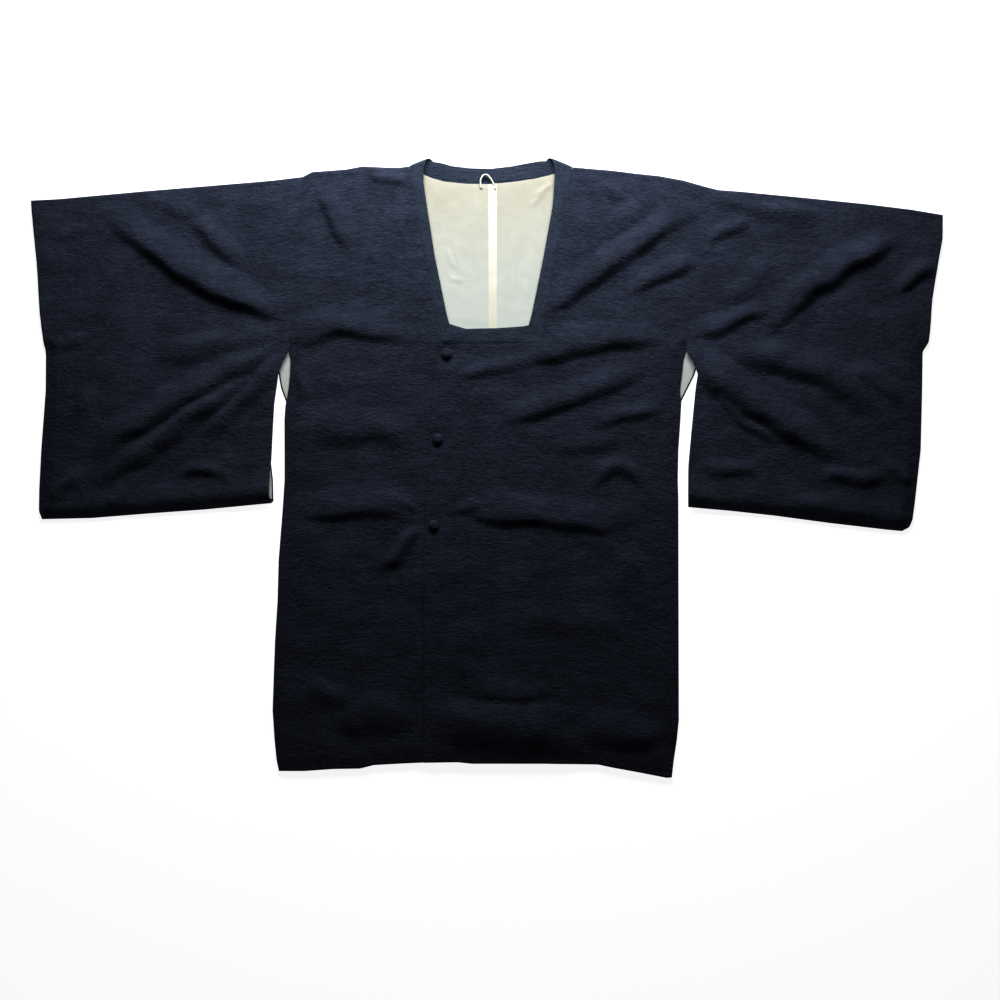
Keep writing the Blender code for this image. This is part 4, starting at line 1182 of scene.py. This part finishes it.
def build_button(name, number):
    """A cloth-covered dome on a short shank, its cover pulled in small pleats under its rim."""
    centre = BUTTON_CENTRES[number]
    base = over_top(*centre) + GAP
    bm = bmesh.new()
    ring = [bm.verts.new((radius, 0, height)) for radius, height in BUTTON_PROFILE]
    edges = [bm.edges.new(pair) for pair in zip(ring, ring[1:])]
    turn = {"cent": (0, 0, 0), "axis": (0, 0, 1), "angle": math.tau, "steps": BUTTON_SIDES, "use_merge": True}
    bmesh.ops.spin(bm, geom=ring + edges, **turn)
    bmesh.ops.remove_doubles(bm, verts=bm.verts[:], dist=1e-4)
    for v in bm.verts:
        radius, angle = math.hypot(v.co.x, v.co.y), math.atan2(v.co.y, v.co.x)
        rim = max(0.0, 1 - abs(radius - BUTTON_RADIUS) / 2.2)
        pleat = 1 - 0.03 * rim * (1 + math.sin(13 * angle + number) * math.sin(5 * angle + 2 * number))
        dent = 0.25 * noise.noise(Vector((v.co.x / 4, v.co.y / 4, number * 7.3)))
        v.co = (v.co.x * pleat, v.co.y * pleat, v.co.z + dent * smooth((v.co.z - 2.5) / 2))
    bmesh.ops.scale(bm, vec=(MM, MM, MM), verts=bm.verts[:])
    bmesh.ops.translate(bm, vec=(centre[0] * MM, centre[1] * MM, base * MM), verts=bm.verts[:])
    return finish_mesh(name, bm, crepe_material("button crepe", colours().crepe, 0.72))


def build_loop(name):
    """The hanging loop, a narrow tube of silk sewn down at both ends."""
    lying = LINING_TOP + GAP + LOOP_RADIUS + 0.1
    route = np.array(LOOP_ROUTE, float)
    share = np.linspace(0, len(route) - 1, LOOP_POINTS)
    centre = np.column_stack([np.interp(share, range(len(route)), column) for column in route.T])
    for _ in range(6):
        centre[1:-1] = (centre[:-2] + 2 * centre[1:-1] + centre[2:]) / 4
    centre[:, 2] += lying
    bm = bmesh.new()
    rings = []
    for k, place in enumerate(centre):
        heading = Vector(centre[min(k + 1, len(centre) - 1)] - centre[max(k - 1, 0)]).normalized()
        across = heading.cross(Vector((0, 0, 1))).normalized()
        up = across.cross(heading)
        twist = 0.1 * math.sin(k * 0.9)
        ring = []
        for j in range(LOOP_SIDES):
            angle = math.tau * j / LOOP_SIDES
            reach = LOOP_RADIUS * (1 + twist * math.cos(2 * angle + k * 0.5))
            spot = Vector(place) + across * math.cos(angle) * reach + up * math.sin(angle) * reach * 0.85
            ring.append(bm.verts.new(spot * MM))
        rings.append(ring)
    for near, far in zip(rings, rings[1:]):
        for j in range(LOOP_SIDES):
            after = (j + 1) % LOOP_SIDES
            bm.faces.new((near[j], near[after], far[after], far[j]))
    bm.faces.new(rings[0][::-1])
    bm.faces.new(rings[-1])
    return finish_mesh(name, bm, loop_material())


def new_group(name, outputs):
    """A node group with the outputs a cloth shares, its cloth coordinates and its output node."""
    group = bpy.data.node_groups.new(name, "ShaderNodeTree")
    for output in outputs:
        group.interface.new_socket(output, in_out="OUTPUT", socket_type="NodeSocketFloat")
    place = group.nodes.new("ShaderNodeUVMap")
    place.uv_map = "cloth"
    return group, place.outputs["UV"], group.nodes.new("NodeGroupOutput")


def math_node(tree, operation, *values):
    """The output of one arithmetic node, each of whose inputs is a number or another node's output."""
    node = tree.nodes.new("ShaderNodeMath")
    node.operation = operation
    for socket, value in zip(node.inputs, values):
        if isinstance(value, bpy.types.NodeSocket):
            tree.links.new(value, socket)
        else:
            socket.default_value = value
    return node.outputs[0]


def weighted(tree, first, first_weight, second, second_weight):
    """Two values, each times its own number, added."""
    near = math_node(tree, "MULTIPLY", first, first_weight)
    return math_node(tree, "ADD", near, math_node(tree, "MULTIPLY", second, second_weight))


def noise_at(tree, place, per_metre, detail=2.0, rough=0.5, warp=0.0):
    """Noise over the cloth at so many cycles per metre across and along it, from 0 to 1."""
    scaled = tree.nodes.new("ShaderNodeMapping")
    scaled.inputs["Scale"].default_value = (*per_metre, 1.0)
    tree.links.new(place, scaled.inputs["Vector"])
    made = tree.nodes.new("ShaderNodeTexNoise")
    made.inputs["Scale"].default_value = 1.0
    made.inputs["Detail"].default_value = detail
    made.inputs["Roughness"].default_value = rough
    made.inputs["Distortion"].default_value = warp
    tree.links.new(scaled.outputs["Vector"], made.inputs["Vector"])
    return made.outputs["Fac"]


def ranged(tree, value, low, high):
    """A value between low and high as 0 to 1, with soft ends."""
    node = tree.nodes.new("ShaderNodeMapRange")
    node.interpolation_type = "SMOOTHSTEP"
    node.inputs["From Min"].default_value = low
    node.inputs["From Max"].default_value = high
    tree.links.new(value, node.inputs["Value"])
    return node.outputs["Result"]


def crepe_group():
    """Masks of the crepe: paler slubs, its mottling, pills, and its height in millimetres."""
    if "Crepe" in bpy.data.node_groups:
        return bpy.data.node_groups["Crepe"]
    group, place, out = new_group("Crepe", ("Slub", "Mottle", "Pill", "Height"))
    streak = noise_at(group, place, (110, 430), 3.0, 0.6, 0.3)
    long_streak = noise_at(group, place, (14, 240), 2.0, 0.5)
    pebble = noise_at(group, place, (560, 640), 2.0, 0.6)
    cloud = noise_at(group, place, (17, 24), 4.0, 0.6)
    patch = noise_at(group, place, (70, 110), 3.0, 0.6)
    slub = ranged(group, weighted(group, streak, 0.7, long_streak, 0.3), 0.42, 0.68)
    mottle = ranged(group, weighted(group, cloud, 0.6, patch, 0.4), 0.36, 0.64)
    cells = group.nodes.new("ShaderNodeTexVoronoi")
    cells.inputs["Scale"].default_value = 95.0
    group.links.new(place, cells.inputs["Vector"])
    pill = math_node(group, "SUBTRACT", 1.0, ranged(group, cells.outputs["Distance"], 0.03, 0.10))
    height = weighted(group, slub, 0.25, pebble, 0.30)
    pucker = noise_at(group, place, (130, 200), 4.0, 0.65, 0.6)
    height = math_node(group, "ADD", height, math_node(group, "MULTIPLY", pucker, 2.2))
    height = math_node(group, "ADD", height, math_node(group, "MULTIPLY", pill, 0.10))
    for name, value in (("Slub", slub), ("Mottle", mottle), ("Pill", pill), ("Height", height)):
        group.links.new(value, out.inputs[name])
    return group


def new_material(name, roughness, sheen, sheen_roughness):
    """A named material with its shader set for cloth, its node tree and its shader."""
    material = bpy.data.materials.new(name)
    material.use_nodes = True
    shader = material.node_tree.nodes["Principled BSDF"]
    shader.inputs["Roughness"].default_value = roughness
    shader.inputs["Sheen Weight"].default_value = sheen
    shader.inputs["Sheen Roughness"].default_value = sheen_roughness
    shader.inputs["Specular IOR Level"].default_value = 0.15
    return material, material.node_tree, shader


def mix_colours(tree, share, first, second):
    """A colour between two, by a share that is a node's output."""
    node = tree.nodes.new("ShaderNodeMix")
    node.data_type = "RGBA"
    tree.links.new(share, node.inputs["Factor"])
    for socket, colour in ((node.inputs[6], first), (node.inputs[7], second)):
        if isinstance(colour, bpy.types.NodeSocket):
            tree.links.new(colour, socket)
        else:
            socket.default_value = (*colour, 1.0)
    return node.outputs[2]


def add_bump(tree, shader, height, strength=1.0):
    """Bump from a height in millimetres."""
    bump = tree.nodes.new("ShaderNodeBump")
    bump.inputs["Distance"].default_value = MM
    bump.inputs["Strength"].default_value = strength
    tree.links.new(height, bump.inputs["Height"])
    tree.links.new(bump.outputs["Normal"], shader.inputs["Normal"])


def crepe_material(name, colour, roughness):
    """Crepe: dark, matt, with paler slubs and a soft nap."""
    if name in bpy.data.materials:
        return bpy.data.materials[name]
    material, tree, shader = new_material(name, roughness, 0.05, 0.45)
    shader.inputs["Sheen Tint"].default_value = (0.72, 0.80, 1.0, 1.0)
    masks = tree.nodes.new("ShaderNodeGroup")
    masks.node_tree = crepe_group()
    pale = weighted(tree, masks.outputs["Slub"], 0.40, masks.outputs["Mottle"], 0.40)
    pale = math_node(tree, "MAXIMUM", pale, masks.outputs["Pill"])
    tree.links.new(mix_colours(tree, pale, colour, colours().slub), shader.inputs["Base Color"])
    add_bump(tree, shader, masks.outputs["Height"])
    return material


def lining_material():
    """Thin pale silk, painted darker towards the neck as shade and a little yellower as real yellowing, with a
    paler cream seam fold that is partly its own cream and partly a painted highlight.
    """
    name = "lining silk"
    if name in bpy.data.materials:
        return bpy.data.materials[name]
    material, tree, shader = new_material(name, 0.5, 0.05, 0.4)
    place = tree.nodes.new("ShaderNodeTexCoord").outputs["Object"]
    parts = tree.nodes.new("ShaderNodeSeparateXYZ")
    tree.links.new(place, parts.inputs["Vector"])
    across = parts.outputs["X"]
    near_neck = ranged(tree, parts.outputs["Y"], 0.150, 0.460)
    fold_end = LINING_FOLD_X * MM
    fold_start = fold_end - sizes().seam_fold - 0.002
    start = ranged(tree, across, fold_start, fold_start + 0.003)
    strip = math_node(tree, "MULTIPLY", start, math_node(tree, "LESS_THAN", across, fold_end))
    # Painted shade towards the neck, with a little real yellowing, spread unevenly by noise
    shade_and_yellowing_noise = noise_at(tree, place, (22, 22), 3.0, 0.6)
    shade_and_yellowing_spread = math_node(tree, "ADD", math_node(tree, "MULTIPLY", shade_and_yellowing_noise, 0.3), 0.85)
    neck_shade_and_yellowing = math_node(tree, "MULTIPLY", near_neck, shade_and_yellowing_spread)
    base = mix_colours(tree, neck_shade_and_yellowing, colours().lining, colours().lining_shade_and_yellowing)
    # Paler cream seam fold: partly its own cream, partly a painted highlight
    base = mix_colours(tree, strip, base, (0.90, 0.91, 0.80))
    tree.links.new(base, shader.inputs["Base Color"])
    weave = noise_at(tree, place, (900, 900), 2.0, 0.6)
    soft = noise_at(tree, place, (60, 45), 3.0, 0.55)
    add_bump(tree, shader, weighted(tree, weave, 0.05, soft, 0.5))
    return material


def loop_material():
    """Cream silk tube with a fine diagonal twist."""
    material, tree, shader = new_material("loop silk", 0.55, 0.1, 0.4)
    place = tree.nodes.new("ShaderNodeTexCoord").outputs["Object"]
    threads = noise_at(tree, place, (1400, 500), 2.0, 0.6)
    base = mix_colours(tree, ranged(tree, threads, 0.3, 0.7), colours().lining, (0.80, 0.78, 0.66))
    tree.links.new(base, shader.inputs["Base Color"])
    add_bump(tree, shader, math_node(tree, "MULTIPLY", threads, 0.2))
    return material


# Cloth as cut: piece, node, plan, flat width and length, flat area, what it rests on
BODY_SHEETS = (
    ("body_right_cloth", "body_right", BODY_RIGHT, (0.40, 1.75), 0.528, ["floor", "back_lining_right_cloth"]),
    ("body_left_cloth", "body_left", BODY_LEFT, (0.40, 1.75), 0.504, ["floor", "body_right_cloth"]),
)
SLEEVE_SHEETS = (
    ("sleeve_right_cloth", "sleeve_right", SLEEVE_RIGHT, (0.38, 0.96), 0.320, ["floor"]),
    ("sleeve_left_cloth", "sleeve_left", SLEEVE_LEFT, (0.38, 0.96), 0.302, ["floor"]),
)
LINING_SHEETS = (
    ("back_lining_right_cloth", "back_lining_right", BODY_RIGHT, (0.31, 0.37), 0.10, ["body_right_cloth"]),
    ("back_lining_left_cloth", "back_lining_left", BODY_LEFT, (0.31, 0.37), 0.10, ["body_left_cloth"]),
)
SLEEVE_LINING_SHEETS = (
    (
        "sleeve_lining_right_cloth",
        "sleeve_lining_right",
        SLEEVE_RIGHT,
        (0.034, 0.184),
        0.0062,
        ["sleeve_right_cloth"],
    ),
    (
        "sleeve_lining_left_cloth",
        "sleeve_lining_left",
        SLEEVE_LEFT,
        (0.034, 0.184),
        0.0062,
        ["sleeve_left_cloth"],
    ),
)


def no_hole(column, row, back_rows):
    """Keeps every cell of a sleeve's grid."""
    return False


def declare(piece, node):
    """Attaches a sheet of cloth to the root and hides the solid node that it replaces."""
    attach(piece, "root")
    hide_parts(node)


class COAT_OT_body(bpy.types.Operator):
    """Builds the two body lengths, each from its back hem over the shoulder to its front hem"""

    bl_idname = "coat.body"
    bl_label = "Body"

    def execute(self, context):
        for name, node, side, flat, area, below in BODY_SHEETS:
            grid = side.grid()
            neck_column, neck_back, neck_front = grid.neck_cells

            def neck_hole(column, row, back_rows):
                above = back_rows - neck_back < row < back_rows + grid.turn + neck_front
                return column > neck_column and above

            material = crepe_material("navy crepe", colours().crepe, 0.86)
            piece = folded_length(name, grid, side, neck_hole, material)
            declare(piece, node)
        return {"FINISHED"}


class COAT_OT_sleeves(bpy.types.Operator):
    """Builds the two sleeves, each one width folded at its top edge"""

    bl_idname = "coat.sleeves"
    bl_label = "Sleeves"

    def execute(self, context):
        for name, node, sleeve, flat, area, below in SLEEVE_SHEETS:
            material = crepe_material("navy crepe", colours().crepe, 0.86)
            piece = folded_length(name, sleeve.grid(), sleeve, no_hole, material)
            declare(piece, node)
        return {"FINISHED"}


class COAT_OT_lining(bpy.types.Operator):
    """Builds the lining that shows in the neck and in the armhole slits"""

    bl_idname = "coat.lining"
    bl_label = "Lining"

    def execute(self, context):
        for name, node, side, flat, area, below in LINING_SHEETS:
            declare(build_back_lining(name, side), node)
        for name, node, sleeve, flat, area, below in SLEEVE_LINING_SHEETS:
            declare(build_sleeve_lining(name, sleeve), node)
        return {"FINISHED"}


class COAT_OT_collar(bpy.types.Operator):
    """Builds the square frame collar, one band round the neck"""

    bl_idname = "coat.collar"
    bl_label = "Collar"

    def execute(self, context):
        declare(build_collar(), "collar")
        return {"FINISHED"}


class COAT_OT_trims(bpy.types.Operator):
    """Builds the three covered buttons and the hanging loop"""

    bl_idname = "coat.trims"
    bl_label = "Buttons and loop"

    def execute(self, context):
        for number in range(len(BUTTON_CENTRES)):
            button = build_button(f"button_{number + 1}_cover", number)
            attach(button, "root")
            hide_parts(f"button_{number + 1}")
        loop = build_loop("loop_tube")
        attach(loop, "root")
        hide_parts("hanging_loop")
        return {"FINISHED"}


def area_light(name, place, aim, size, watts, colour):
    """An area light aimed at a point."""
    data = bpy.data.lights.new(name, "AREA")
    data.shape = "RECTANGLE"
    data.size, data.size_y = size
    data.energy = watts
    data.color = colour
    light = bpy.data.objects.new(name, data)
    light.location = place
    light.rotation_euler = (Vector(aim) - Vector(place)).to_track_quat("-Z", "Y").to_euler()
    bpy.context.scene.collection.objects.link(light)
    return light


def floor_material():
    """Plain pale floor that glows a little, so that it stays pale as the light falls off."""
    material, _, shader = new_material("floor", 0.9, 0.0, 0.5)
    shader.inputs["Base Color"].default_value = (*colours().floor, 1.0)
    shader.inputs["Specular IOR Level"].default_value = 0.0
    shader.inputs["Emission Color"].default_value = (1.0, 1.0, 1.0, 1.0)
    shader.inputs["Emission Strength"].default_value = 0.90
    return material


class COAT_OT_stage(bpy.types.Operator):
    """Sets the pale floor, the soft studio light from beyond the neck, and the camera straight above"""

    bl_idname = "coat.stage"
    bl_label = "Stage"

    def execute(self, context):
        scene = context.scene
        bm = bmesh.new()
        bmesh.ops.create_grid(bm, x_segments=1, y_segments=1, size=4.0)
        bmesh.ops.translate(bm, vec=(0, 0, -0.0004), verts=bm.verts[:])
        floor = finish_mesh("floor", bm, floor_material())
        area_light("key", KEY_PLACE, KEY_AIM, KEY_SIZE, KEY_WATTS, KEY_COLOUR)
        world = bpy.data.worlds.new("studio")
        world.use_nodes = True
        world.node_tree.nodes["Background"].inputs["Color"].default_value = SKY_COLOUR
        world.node_tree.nodes["Background"].inputs["Strength"].default_value = SKY_STRENGTH
        scene.world = world
        scene.view_settings.view_transform = "Standard"
        scene.view_settings.gamma = 0.7
        camera = bpy.data.objects.new("camera", bpy.data.cameras.new("camera"))
        camera.data.lens = 50
        camera.data.sensor_width = 36
        camera.location = CAMERA_PLACE
        scene.collection.objects.link(camera)
        scene.camera = camera
        return {"FINISHED"}


class COAT_PT_panel(bpy.types.Panel):
    """The coat's sizes, colours and pieces"""

    bl_idname = "COAT_PT_panel"
    bl_label = "Kimono coat"
    bl_space_type = "VIEW_3D"
    bl_region_type = "UI"
    bl_category = "Coat"

    def draw(self, context):
        for group in (context.scene.coat_sizes, context.scene.coat_colours):
            for name in group.bl_rna.properties.keys():
                if name not in ("rna_type", "name"):
                    self.layout.prop(group, name)
        for piece in PIECES:
            self.layout.operator(piece.bl_idname)


PIECES = (COAT_OT_body, COAT_OT_sleeves, COAT_OT_lining, COAT_OT_collar, COAT_OT_trims, COAT_OT_stage)
CLASSES = (CoatSizes, CoatColours, *PIECES, COAT_PT_panel)


def register():
    for kind in CLASSES:
        bpy.utils.register_class(kind)
    bpy.types.Scene.coat_sizes = bpy.props.PointerProperty(type=CoatSizes)
    bpy.types.Scene.coat_colours = bpy.props.PointerProperty(type=CoatColours)


def unregister():
    del bpy.types.Scene.coat_colours
    del bpy.types.Scene.coat_sizes
    for kind in reversed(CLASSES):
        bpy.utils.unregister_class(kind)


def main():
    register()
    bpy.ops.coat.body()
    bpy.ops.coat.sleeves()
    bpy.ops.coat.lining()
    bpy.ops.coat.collar()
    bpy.ops.coat.trims()
    bpy.ops.coat.stage()
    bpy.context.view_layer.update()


if __name__ == "__main__":
    main()
